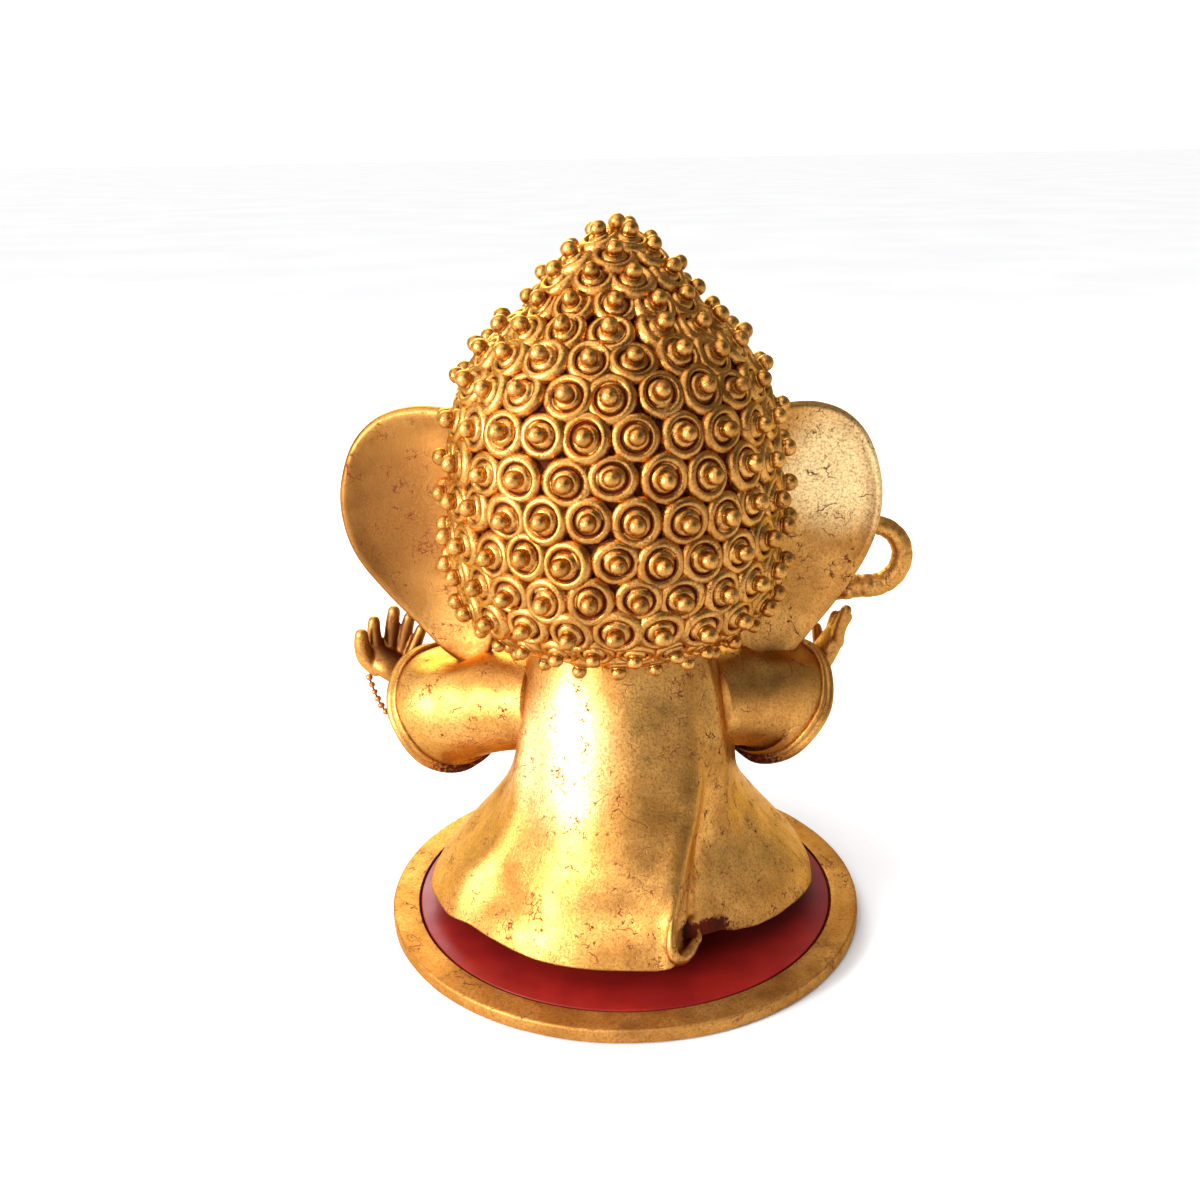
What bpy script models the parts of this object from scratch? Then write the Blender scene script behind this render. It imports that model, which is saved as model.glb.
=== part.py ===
"""Gilded elephant-headed devotional figure on a round base, as separate sub-parts.

Frame: the origin is the centre of the resting face, the underside of the felt pad.
+Z is up, the figure faces -Y, and +X is the figure's left. Dimensions are millimetres
until add_mesh() turns them into metres.
"""

from math import cos, exp, hypot, pi, radians, sin

import bpy
from mathutils import Vector

MM = 0.001
GAP = 0.3

# Base
BASE_RADIUS = 75.0
BASE_BOTTOM = 0.4
BASE_TOP = 4.8
LACQUER_RADIUS = 66.0
LACQUER_THICKNESS = 0.9
FELT_RADIUS = 62.0
FELT_THICKNESS = 1.0
BASE_SEGMENTS = 64

# Armature rod, with a flat head let into the underside of the base
ROD_RADIUS = 2.0
ROD_HEAD_RADIUS = 4.2
ROD_HEAD_DEPTH = 2.0
ROD_TOP = 118.0

# Robe: height, half width in X, depth to the back, depth to the front
ROBE_STATIONS = (
    (10.8, 61.5, 56.0, 52.0),
    (17.0, 58.8, 53.8, 50.5),
    (24.0, 53.8, 51.5, 49.0),
    (31.0, 46.8, 49.2, 47.5),
    (39.0, 39.8, 46.5, 45.5),
    (48.0, 36.2, 43.0, 43.0),
    (60.0, 34.4, 38.5, 39.0),
    (74.0, 32.0, 33.0, 33.5),
    (84.0, 29.5, 28.5, 27.0),
    (92.5, 26.5, 26.0, 24.0),
)
ROBE_WALL = 2.2
ROBE_COLUMNS = 60
FRONT_HEM_LIFT = 5.0

# Hem: angle from the back towards the left side, offset outwards, lift
HEM_SHAPE = (
    (-180.0, 0.0, 0.0),
    (-105.0, -0.5, 0.5),
    (-80.0, -0.8, 1.0),
    (-57.0, -3.9, 1.4),
    (-38.0, -6.8, 1.9),
    (-31.0, -7.2, 4.6),
    (-25.0, -6.2, 6.0),
    (-20.5, -3.4, 4.4),
    (-17.0, 0.4, 2.4),
    (-13.0, 1.6, 1.4),
    (-8.0, 1.2, 0.9),
    (7.0, 1.1, 0.5),
    (40.0, -1.2, 1.1),
    (52.0, -1.9, 0.9),
    (62.0, -0.8, 0.1),
    (80.0, 1.4, 0.0),
    (110.0, 0.0, 0.0),
    (180.0, 0.0, 0.0),
)

# The pleat that ends in the hem's lifted part: its angle at the shoulder, its size
PLEAT_START = -38.0
PLEAT_END = -15.5
PLEAT_WIDTH = 9.0
PLEAT_HEIGHT = 2.0

# Core inside the robe: foot radius, height of the foot's top, lowest robe station it follows
CORE_FOOT_RADIUS = 34.0
CORE_FOOT_TOP = 18.0
CORE_FOLLOWS_FROM = 45.0
CORE_LOW_INSET = 4.6

# Feet
HEEL = (14.0, -39.5, 9.6)
BALL_OF_FOOT = (17.0, -58.0, 8.6)
TOE_PITCH = 2.9

# Sleeves: each runs from inside the robe to a cuff that faces out, forward and down
SLEEVE_ROOT_X = 24.0
SLEEVE_ROOT_Y = 2.0
SLEEVE_ROOT_Z = 71.0
LEFT_CUFF_CENTRE = Vector((57.2, -17.0, 61.4))
LEFT_CUFF_FACING = Vector((0.63, -0.60, -0.49))
RIGHT_CUFF_CENTRE = Vector((-50.0, -17.0, 62.8))
RIGHT_CUFF_FACING = Vector((-0.69, -0.46, -0.56))
CUFF_RADIUS = 20.2
SLEEVE_ROOT_RADIUS = 14.0
SLEEVE_MIDDLE_RADIUS = 16.0
SLEEVE_NEAR_CUFF = 9.0
SLEEVE_NEAR_CUFF_RADIUS = 19.4
SLEEVE_WALL = 2.2
SLEEVE_SIDES = 24

# Hollow in the end of a sleeve: distance past the cuff, how far its side stands in
SLEEVE_POCKET = ((-17.0, 8.0), (-12.0, 4.4), (3.0, 0.0))
CUFF_BAND_RADIUS = 1.3
CUFF_BAND_INSET = 0.6
CUFF_BAND_SIDES = 6

# Head: a body of revolution about an upright axis
HEAD_X = 1.6
TOPKNOT_X = 0.0
SKULL_PROFILE = (
    (27.0, 95.5),
    (34.0, 98.0),
    (40.0, 102.5),
    (44.0, 109.0),
    (45.8, 117.0),
    (46.4, 128.0),
    (46.0, 142.0),
    (45.0, 154.0),
    (42.8, 165.0),
    (38.0, 174.3),
    (32.3, 181.3),
    (26.5, 186.5),
)
TOPKNOT_PROFILE = (
    (24.8, 186.9),
    (23.2, 191.0),
    (18.4, 198.0),
    (12.2, 204.5),
    (5.6, 209.0),
)
HEAD_SEGMENTS = 32

# Curls: flat rings side by side in rows round the head, each with a ball on top.
# The rows lie at these distances along the profiles, from their lower ends.
CURL_PITCH = 12.2
CURL_HEIGHT = 2.4
CURL_BALL_TOP = 5.6
CURL_BALL_RADIUS = 2.4
SKULL_ROWS = (7.6, 15.2, 23.6, 32.8, 43.4, 54.2, 65.0, 75.8, 86.4, 96.6)
TOPKNOT_ROWS = (5.5, 13.4, 20.9)
WIDEST_CURL = 5.2
OPEN_ROW_HALF_ANGLE = 92.0
CLOSED_ROW_HEIGHT = 166.0
FINIAL_BALL_RADIUS = 2.5
FINIAL_TOP = 215.8

# Ears: outline of the left one as distance from the head's axis and height
EAR_OUTLINE = (
    (40.0, 158.5),
    (51.0, 160.2),
    (61.0, 159.8),
    (70.2, 155.8),
    (77.0, 147.4),
    (80.9, 134.0),
    (80.4, 121.5),
    (76.4, 110.6),
    (68.6, 99.0),
    (61.0, 90.4),
    (52.5, 82.6),
    (45.0, 82.0),
    (39.0, 92.0),
    (38.0, 108.0),
    (38.0, 126.0),
    (38.0, 144.0),
)
EAR_THICKNESS = 4.4
EAR_ROOT_Y = -10.5
EAR_SWEEP = 7.5
EAR_DISH = 2.5

# Trunk: centres and radii down to the start of the loop, then the loop itself
TRUNK_PATH = (
    ((2.0, -34.0, 124.0), 12.5),
    ((2.0, -48.0, 117.0), 12.0),
    ((0.5, -56.5, 106.0), 10.4),
    ((-6.0, -59.5, 96.5), 9.0),
    ((-19.0, -58.5, 91.0), 7.8),
    ((-34.0, -53.0, 90.0), 6.8),
    ((-49.0, -45.0, 91.5), 5.8),
    ((-62.0, -37.5, 94.0), 4.9),
    ((-72.0, -32.5, 95.6), 4.1),
)
LOOP_CENTRE = Vector((-80.4, -30.5, 107.0))
LOOP_RADIUS = 10.3
LOOP_TUBE_START = 3.7
LOOP_TUBE_END = 2.6
LOOP_STEPS = 12
LOOP_START_ANGLE = 275.0
LOOP_TURN = 245.0
TRUNK_SIDES = 12

# Face: tusks as offsets from their root and radii, closed eyes, dot on the forehead
TUSK_ROOT = (17.0, -36.0, 112.0)
TUSK_PATH = (
    ((0.0, 0.0, 0.0), 3.0),
    ((2.4, -12.0, -4.0), 2.6),
    ((3.8, -19.0, -4.4), 1.8),
    ((4.2, -24.0, -3.2), 0.6),
)
EYE_PLACE = (19.0, -40.5, 137.0)
EYELID_SIZE = (6.0, 3.6, 2.6)
DOT_PLACE = (-45.2, 150.0)
DOT_RADIUS = 2.2

# Prayer beads
STRAND_OUTER = Vector((84.2, -28.0, 67.2))
STRAND_INNER = Vector((64.6, -33.6, 67.2))
STRAND_LOW_Z = 51.0
STRAND_FALL = 2.8
STRAND_BEADS = 17
BEAD_RADIUS = 1.0
THREAD_RADIUS = 0.45
STRAND_SIDES = 6
GURU_BEAD_RADIUS = 2.0

# Finishes: colour, roughness, metallic
FINISHES = {
    "gilded": ((0.70, 0.47, 0.16, 1.0), 0.34, 1.0),
    "lacquer": ((0.27, 0.012, 0.010, 1.0), 0.28, 0.0),
    "felt": ((0.03, 0.03, 0.035, 1.0), 0.95, 0.0),
    "steel": ((0.55, 0.55, 0.56, 1.0), 0.35, 1.0),
    "clay": ((0.30, 0.17, 0.12, 1.0), 0.85, 0.0),
}


def make_material(name, finish):
    """A Principled BSDF material of the sub-part's own, in one of the finishes."""
    colour, roughness, metallic = FINISHES[finish]
    material = bpy.data.materials.new(name)
    material.use_nodes = True
    shader = material.node_tree.nodes["Principled BSDF"]
    shader.inputs["Base Color"].default_value = colour
    shader.inputs["Roughness"].default_value = roughness
    shader.inputs["Metallic"].default_value = metallic
    return material


def add_mesh(name, vertices, faces, finish="gilded", parent=None):
    """An object from millimetre vertices; a parent takes it along on its joint."""
    origin = parent.location if parent else Vector((0.0, 0.0, 0.0))
    points = [Vector(v) * MM - origin for v in vertices]
    mesh = bpy.data.meshes.new(name)
    mesh.from_pydata(points, [], faces)
    mesh.materials.append(make_material(name, finish))
    mesh.shade_smooth()
    part = bpy.data.objects.new(name, mesh)
    part.parent = parent
    bpy.context.scene.collection.objects.link(part)
    return part


def as_cutter(part):
    """Marks an object as a tool shape that isn't a sub-part."""
    part.hide_render = True
    part.display_type = "WIRE"
    return part


def boolean(part, other, operation):
    """Adds an exact Boolean of another object to the part."""
    step = part.modifiers.new(operation.title(), "BOOLEAN")
    step.operation = operation
    step.solver = "EXACT"
    step.object = other


def unite(part, others):
    """Joins overlapping helper shapes into the part as one body."""
    for other in others:
        as_cutter(other)
        boolean(part, other, "UNION")


def quads(rows, columns, closed_rows=False):
    """Faces of a grid whose columns wrap round; closed rows wrap as well."""
    faces = []
    last = rows if closed_rows else rows - 1
    for i in range(last):
        low = i * columns
        high = ((i + 1) % rows) * columns
        for j in range(columns):
            k = (j + 1) % columns
            faces.append((low + j, low + k, high + k, high + j))
    return faces


def lathe(name, profile, finish="gilded", segments=HEAD_SEGMENTS, centre=(0.0, 0.0), ring=False):
    """A body of revolution about an upright axis, from (radius, height) pairs going up.

    A ring's profile is a closed outline clear of the axis, anticlockwise.
    """
    vertices = []
    for radius, height in profile:
        for j in range(segments):
            turn = 2 * pi * j / segments
            vertices.append((centre[0] + radius * cos(turn), centre[1] + radius * sin(turn), height))
    faces = quads(len(profile), segments, closed_rows=ring)
    if not ring:
        faces.append(tuple(reversed(range(segments))))
        faces.append(tuple(range(len(vertices) - segments, len(vertices))))
    return add_mesh(name, vertices, faces, finish)


def sweep(name, centres, radii, sides, finish="gilded", up=(0.0, 0.0, 1.0), heights=None, parent=None):
    """A capped tube through the centres; heights stretch its section along the up direction."""
    vertices = []
    heights = heights or radii
    for i, centre in enumerate(centres):
        before = centres[max(i - 1, 0)]
        after = centres[min(i + 1, len(centres) - 1)]
        tangent = (after - before).normalized()
        side = tangent.cross(Vector(up)).normalized()
        top = side.cross(tangent).normalized()
        for j in range(sides):
            turn = 2 * pi * j / sides
            vertices.append(centre + side * (radii[i] * cos(turn)) + top * (heights[i] * sin(turn)))
    faces = [tuple(reversed(f)) for f in quads(len(centres), sides)]
    faces.append(tuple(range(sides)))
    faces.append(tuple(reversed(range(len(vertices) - sides, len(vertices)))))
    return add_mesh(name, vertices, faces, finish, parent)


def ellipsoid(name, centre, size, finish="gilded", segments=10, rings=6, parent=None):
    """A closed ellipsoid of the given half sizes, on an upright axis."""
    vertices = [Vector(centre) - Vector((0, 0, size[2]))]
    for i in range(1, rings):
        tilt = -pi / 2 + pi * i / rings
        for j in range(segments):
            turn = 2 * pi * j / segments
            offset = (size[0] * cos(tilt) * cos(turn), size[1] * cos(tilt) * sin(turn), size[2] * sin(tilt))
            vertices.append(Vector(centre) + Vector(offset))
    vertices.append(Vector(centre) + Vector((0, 0, size[2])))
    top = len(vertices) - 1
    faces = [tuple(1 + k for k in f) for f in quads(rings - 1, segments)]
    for j in range(segments):
        k = (j + 1) % segments
        faces.append((0, 1 + k, 1 + j))
        faces.append((top, top - segments + j, top - segments + k))
    return add_mesh(name, vertices, faces, finish, parent)


def capsule(name, start, end, start_radius, end_radius, sides=8):
    """A finger-like tube with rounded ends."""
    start = Vector(start)
    end = Vector(end)
    along = (end - start).normalized()
    centres = [
        start - along * (0.6 * start_radius),
        start,
        end,
        end + along * (0.75 * end_radius),
    ]
    radii = [0.6 * start_radius, start_radius, end_radius, 0.5 * end_radius]
    up = (0.0, 1.0, 0.0) if abs(along.z) > 0.7 else (0.0, 0.0, 1.0)
    return sweep(name, centres, radii, sides, up=up)


# ---- Base and armature -------------------------------------------------------------


def build_base():
    """Gilded disc with a shallow bed for the lacquer disc and one underneath for the felt."""
    bore = ROD_RADIUS + GAP
    bed = BASE_TOP - LACQUER_THICKNESS - GAP
    pad_bed = FELT_THICKNESS + GAP
    rim = 0.5
    profile = (
        (FELT_RADIUS + GAP, BASE_BOTTOM),
        (BASE_RADIUS - rim, BASE_BOTTOM),
        (BASE_RADIUS, BASE_BOTTOM + rim),
        (BASE_RADIUS, BASE_TOP - rim),
        (BASE_RADIUS - rim, BASE_TOP),
        (LACQUER_RADIUS + GAP, BASE_TOP),
        (LACQUER_RADIUS + GAP, bed),
        (bore, bed),
        (bore, pad_bed + ROD_HEAD_DEPTH),
        (ROD_HEAD_RADIUS + GAP, pad_bed),
        (FELT_RADIUS + GAP, pad_bed),
    )
    lathe("base_disc", profile, segments=BASE_SEGMENTS, ring=True)


def build_lacquer_disc():
    """Red lacquered disc, level with the gilded rim, with a hole for the rod."""
    bottom = BASE_TOP - LACQUER_THICKNESS
    bore = ROD_RADIUS + GAP
    profile = (
        (bore, bottom),
        (LACQUER_RADIUS, bottom),
        (LACQUER_RADIUS, BASE_TOP),
        (bore, BASE_TOP),
    )
    lathe("lacquer_disc", profile, "lacquer", BASE_SEGMENTS, ring=True)


def build_felt_pad():
    """Felt pad, whose underside is the resting face."""
    profile = ((FELT_RADIUS, 0.0), (FELT_RADIUS, FELT_THICKNESS))
    lathe("felt_pad", profile, "felt", BASE_SEGMENTS)


def build_rod():
    """Steel rod from a countersunk head under the base up into the head."""
    bottom = FELT_THICKNESS + GAP
    profile = (
        (ROD_HEAD_RADIUS, bottom),
        (ROD_RADIUS, bottom + ROD_HEAD_DEPTH),
        (ROD_RADIUS, ROD_TOP),
    )
    lathe("armature_rod", profile, "steel", 16)


def rod_bore():
    """Tool shape for the rod's hole through the core and into the head."""
    profile = ((ROD_RADIUS + GAP, 3.0), (ROD_RADIUS + GAP, ROD_TOP + GAP))
    return as_cutter(lathe("rod_bore", profile, "steel", 16))


# ---- Robe and core -----------------------------------------------------------------


def between(rows, place):
    """The values at a place in a table whose first column is in rising order."""
    for before, after in zip(rows, rows[1:]):
        if place <= after[0]:
            share = (place - before[0]) / (after[0] - before[0])
            return [a + (b - a) * share for a, b in zip(before[1:], after[1:])]
    return rows[-1][1:]


def robe_ring(station, inset):
    """Points round the robe at one height, counted from the back towards the left side."""
    height, half_width, back, front = station
    first = ROBE_STATIONS[0][0]
    last = ROBE_STATIONS[-1][0]
    fall = (last - height) / (last - first)
    shaped = max(fall - 0.35, 0.0) / 0.65
    crest = PLEAT_START + (PLEAT_END - PLEAT_START) * shaped
    points = []
    for j in range(ROBE_COLUMNS):
        angle = 360.0 * j / ROBE_COLUMNS
        if angle > 180.0:
            angle -= 360.0
        x = sin(radians(angle))
        y = cos(radians(angle))
        depth = back if y > 0 else front
        out, lift = between(HEM_SHAPE, angle)
        pleat = PLEAT_HEIGHT * fall * exp(-(((angle - crest) / PLEAT_WIDTH) ** 2))
        swell = out * shaped + pleat - inset
        lift = lift * shaped ** 4 + FRONT_HEM_LIFT * max(-y, 0.0) * fall ** 4
        points.append(((half_width + swell) * x, (depth + swell) * y, height + lift))
    return points


def robe_solid(name, inset, finish="gilded"):
    """The robe's form as a solid, set in by the inset (out where it is negative)."""
    vertices = []
    for station in ROBE_STATIONS:
        vertices.extend(robe_ring(station, inset))
    faces = [tuple(reversed(f)) for f in quads(len(ROBE_STATIONS), ROBE_COLUMNS)]
    faces.append(tuple(range(ROBE_COLUMNS)))
    faces.append(tuple(reversed(range(len(vertices) - ROBE_COLUMNS, len(vertices)))))
    return add_mesh(name, vertices, faces, finish)


def build_robe():
    """Thin flared shell, open at the hem and at the neck."""
    vertices = []
    for station in ROBE_STATIONS:
        vertices.extend(robe_ring(station, 0.0))
    for station in reversed(ROBE_STATIONS):
        vertices.extend(robe_ring(station, ROBE_WALL))
    faces = [tuple(reversed(f)) for f in quads(2 * len(ROBE_STATIONS), ROBE_COLUMNS, closed_rows=True)]
    add_mesh("robe", vertices, faces)


def build_core(bore):
    """Modelled core that carries the robe's upper part, on a round foot."""
    vertices = []
    for height in (BASE_TOP + GAP, CORE_FOOT_TOP):
        for j in range(ROBE_COLUMNS):
            turn = radians(360.0 * j / ROBE_COLUMNS)
            vertices.append((CORE_FOOT_RADIUS * sin(turn), CORE_FOOT_RADIUS * cos(turn), height))
    kept = [s for s in ROBE_STATIONS if s[0] > CORE_FOLLOWS_FROM]
    for i, station in enumerate(kept):
        vertices.extend(robe_ring(station, CORE_LOW_INSET if i == 0 else ROBE_WALL + GAP))
    rings = 2 + len(kept)
    faces = [tuple(reversed(f)) for f in quads(rings, ROBE_COLUMNS)]
    faces.append(tuple(range(ROBE_COLUMNS)))
    faces.append(tuple(reversed(range(len(vertices) - ROBE_COLUMNS, len(vertices)))))
    core = add_mesh("body_core", vertices, faces, "clay")
    boolean(core, bore, "DIFFERENCE")


def build_feet():
    """Two bare feet that stand on the base in front of the core."""
    for side, sign in (("left", 1.0), ("right", -1.0)):
        heel = Vector((sign * HEEL[0], HEEL[1], HEEL[2]))
        ball = Vector((sign * BALL_OF_FOOT[0], BALL_OF_FOOT[1], BALL_OF_FOOT[2]))
        foot = sweep(
            f"foot_{side}",
            [heel, heel.lerp(ball, 0.5), ball, ball + Vector((0.4 * sign, -3.0, -0.3))],
            [5.0, 5.6, 7.0, 6.4],
            10,
            heights=[4.2, 4.4, 3.2, 2.6],
        )
        toes = []
        for i in range(5):
            across = (i - 2) * TOE_PITCH * sign
            root = ball + Vector((across, -1.5, -0.9))
            tip = root + Vector((0.15 * across, -4.6 + 0.45 * i, -0.2))
            radius = 1.9 - 0.14 * i
            toes.append(capsule(f"toe_{side}_{i + 1}", root, tip, radius, radius, 6))
        unite(foot, toes)


# ---- Sleeves and hands -------------------------------------------------------------


def sleeve_path(sign, cuff, facing):
    """Centres from inside the robe, turning at the elbow to leave the cuff squarely."""
    root = Vector((sign * SLEEVE_ROOT_X, SLEEVE_ROOT_Y, SLEEVE_ROOT_Z))
    near_cuff = cuff - facing * SLEEVE_NEAR_CUFF
    return [root, root.lerp(near_cuff, 0.5), near_cuff, cuff]


def sleeve_radii(grow):
    """Radii of the sleeve along its path, grown for a clearance shape."""
    radii = (SLEEVE_ROOT_RADIUS, SLEEVE_MIDDLE_RADIUS, SLEEVE_NEAR_CUFF_RADIUS, CUFF_RADIUS)
    return [radius + grow for radius in radii]


def build_sleeve(side, sign, cuff, facing, robe_clear):
    """Wide sleeve: a drum that grows towards an open cuff, hollow at its end."""
    centres = sleeve_path(sign, cuff, facing)
    sleeve = sweep(f"sleeve_{side}", centres, sleeve_radii(0.0), SLEEVE_SIDES)
    boolean(sleeve, robe_clear, "DIFFERENCE")
    inner = CUFF_RADIUS - SLEEVE_WALL
    places = [cuff + facing * along for along, step_in in SLEEVE_POCKET]
    radii = [inner - step_in for along, step_in in SLEEVE_POCKET]
    pocket = sweep(f"pocket_{side}", places, radii, SLEEVE_SIDES)
    boolean(sleeve, as_cutter(pocket), "DIFFERENCE")
    clear = sweep(f"sleeve_clear_{side}", centres, sleeve_radii(GAP), SLEEVE_SIDES)
    return as_cutter(clear)


def build_cuff(side, cuff, facing):
    """Raised band round the cuff's mouth."""
    along = facing.normalized()
    across = along.cross(Vector((0.0, 0.0, 1.0))).normalized()
    top = across.cross(along)
    middle = cuff + along * (CUFF_BAND_RADIUS + GAP)
    vertices = []
    for i in range(SLEEVE_SIDES):
        turn = 2 * pi * i / SLEEVE_SIDES
        outward = across * cos(turn) + top * sin(turn)
        for j in range(CUFF_BAND_SIDES):
            roll = 2 * pi * j / CUFF_BAND_SIDES
            radius = CUFF_RADIUS - CUFF_BAND_INSET + CUFF_BAND_RADIUS * cos(roll)
            vertices.append(middle + outward * radius + along * (CUFF_BAND_RADIUS * sin(roll)))
    add_mesh(f"cuff_{side}", vertices, quads(SLEEVE_SIDES, CUFF_BAND_SIDES, closed_rows=True))


def build_left_hand(cuff, facing):
    """Upturned hand that carries the prayer beads, with its forearm in the sleeve."""
    elbow = cuff - facing * 10.0
    centres = [elbow, cuff + Vector((0.0, -1.0, 2.6)), Vector((70.0, -26.5, 66.8))]
    centres += [Vector((77.5, -29.5, 71.4)), Vector((81.6, -31.5, 75.6))]
    hand = sweep("hand_left", centres, [6.0, 6.0, 4.4, 6.6, 4.0], 10, heights=[6.0, 6.0, 4.2, 4.2, 2.8])
    digits = (
        ((81.4, -27.6, 71.5), (85.2, -25.6, 83.2), 2.0, 1.5),
        ((81.0, -31.5, 75.0), (81.9, -31.5, 85.6), 1.7, 1.4),
        ((77.0, -33.5, 73.5), (75.4, -33.5, 88.4), 1.8, 1.4),
        ((73.8, -33.3, 72.0), (70.4, -33.6, 86.2), 1.7, 1.4),
        ((71.6, -30.8, 69.5), (66.4, -32.0, 82.6), 1.6, 1.3),
    )
    fingers = [capsule(f"finger_left_{i + 1}", *d) for i, d in enumerate(digits)]
    unite(hand, fingers)


def build_right_hand(cuff, facing):
    """Raised hand with its fingers up beside the trunk."""
    elbow = cuff - facing * 10.0
    centres = [elbow, cuff + Vector((0.0, -1.0, 3.0)), Vector((-62.0, -25.0, 69.5))]
    centres += [Vector((-67.4, -26.8, 77.0)), Vector((-69.6, -26.5, 82.0))]
    heights = [6.0, 6.0, 4.6, 6.8, 5.8]
    hand = sweep("hand_right", centres, [6.0, 6.0, 4.4, 4.0, 3.0], 10, up=(0.0, 1.0, 0.2), heights=heights)
    digits = (
        ((-69.8, -22.5, 80.0), (-72.0, -21.5, 91.5), 1.6, 1.3),
        ((-70.2, -25.2, 81.0), (-72.6, -23.6, 88.4), 1.7, 1.4),
        ((-70.0, -28.0, 80.6), (-71.4, -27.2, 87.6), 1.7, 1.4),
        ((-69.6, -30.8, 79.0), (-70.2, -30.6, 86.4), 1.6, 1.3),
        ((-66.0, -31.0, 74.0), (-65.2, -36.5, 80.0), 1.8, 1.5),
    )
    fingers = [capsule(f"finger_right_{i + 1}", *d) for i, d in enumerate(digits)]
    unite(hand, fingers)


# ---- Head --------------------------------------------------------------------------


def grown(profile, amount):
    """The profile moved out by an amount, for a clearance shape."""
    return [(radius + amount, height) for radius, height in profile]


def build_head(bore):
    """Egg-shaped head."""
    head = lathe("head_core", SKULL_PROFILE, centre=(HEAD_X, 0.0))
    boolean(head, bore, "DIFFERENCE")
    clear = grown(SKULL_PROFILE, GAP)
    return as_cutter(lathe("head_clear", clear, centre=(HEAD_X, 0.0)))


def profile_point(profile, distance):
    """Point and outward normal at a distance along a profile, from its lower end."""
    for (r0, z0), (r1, z1) in zip(profile, profile[1:]):
        step = hypot(r1 - r0, z1 - z0)
        if distance <= step:
            share = distance / step
            return r0 + (r1 - r0) * share, z0 + (z1 - z0) * share, (z1 - z0) / step, (r0 - r1) / step
        distance -= step
    raise ValueError("the distance runs past the profile")


def build_curl_row(name, axis_x, profile, distance, half_width, closed, odd):
    """One row of curls as a single pinched band with a ball on each curl."""
    radius, height, out_r, out_z = profile_point(profile, distance)
    full = 2 * pi if closed else 2 * radians(OPEN_ROW_HALF_ANGLE)
    count = max(5, round(full * (radius + 1.0) / CURL_PITCH))
    step = full / count
    start = (0.5 * step if odd else 0.0) if closed else -full / 2
    pinch = 0.78
    section = (
        (-1.0, GAP),
        (1.0, GAP),
        (1.0, 0.7 * CURL_HEIGHT),
        (0.45, None),
        (-0.45, None),
        (-1.0, 0.7 * CURL_HEIGHT),
    )
    places = []
    for i in range(count):
        angle = start + i * step
        places.append((angle, pinch, False))
        places.append((angle + 0.36 * step, 1.0, True))
        places.append((angle + 0.64 * step, 1.0, True))
    if not closed:
        places.append((start + full, pinch, False))
    vertices = []
    for angle, width, ball in places:
        for across, lift in section:
            if lift is None:
                lift = CURL_BALL_TOP if ball else 0.8 * CURL_HEIGHT
                spread = across * CURL_BALL_RADIUS / 0.45 if ball else across * half_width
            else:
                spread = across * half_width * width
            r = radius + out_r * lift - out_z * spread
            z = height + out_z * lift + out_r * spread
            vertices.append((axis_x + r * sin(angle), r * cos(angle), z))
    columns = len(section)
    faces = quads(len(places), columns, closed_rows=closed)
    if not closed:
        faces.append(tuple(reversed(range(columns))))
        faces.append(tuple(range(len(vertices) - columns, len(vertices))))
    faces = [tuple(reversed(f)) for f in faces]
    add_mesh(name, vertices, faces)


def build_rows(stem, axis_x, profile, rows):
    """Rows of curls along a profile, each as wide as its nearest neighbour lets it be."""
    for i, distance in enumerate(rows):
        nearest = min(abs(distance - other) for other in rows if other != distance)
        half_width = min(0.5 * nearest - GAP, WIDEST_CURL)
        closed = profile_point(profile, distance)[1] > CLOSED_ROW_HEIGHT
        build_curl_row(f"{stem}_{i + 1}", axis_x, profile, distance, half_width, closed, i % 2 == 1)


def build_topknot():
    """Topknot on the crown with a small cone and ball."""
    lathe("topknot_core", TOPKNOT_PROFILE, centre=(TOPKNOT_X, 0.0), segments=24)
    ball = FINIAL_TOP - FINIAL_BALL_RADIUS
    foot = TOPKNOT_PROFILE[-1][1] + GAP
    profile = (
        (3.6, foot),
        (1.6, ball - 2.2),
        (FINIAL_BALL_RADIUS, ball),
        (1.8, ball + 1.8),
        (0.6, FINIAL_TOP),
    )
    lathe("finial", profile, centre=(TOPKNOT_X, 0.0), segments=12)


def rounded(outline):
    """The closed outline with a point added between each two, on a smooth curve."""
    points = []
    count = len(outline)
    for i in range(count):
        a, b, c, d = (Vector(outline[(i + k) % count]) for k in (-1, 0, 1, 2))
        points.append(b)
        points.append((b + c) * 0.5625 - (a + d) * 0.0625)
    return points


def ear_surface(x, z, sign, offset):
    """A point of the ear, swept forward towards its edge and dished at the back."""
    reach = (x - 40.0) / 41.0
    y = EAR_ROOT_Y - EAR_SWEEP * reach - EAR_DISH * sin(pi * min(max(reach, 0.0), 1.0)) + offset
    return (HEAD_X + sign * x, y, z)


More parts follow.
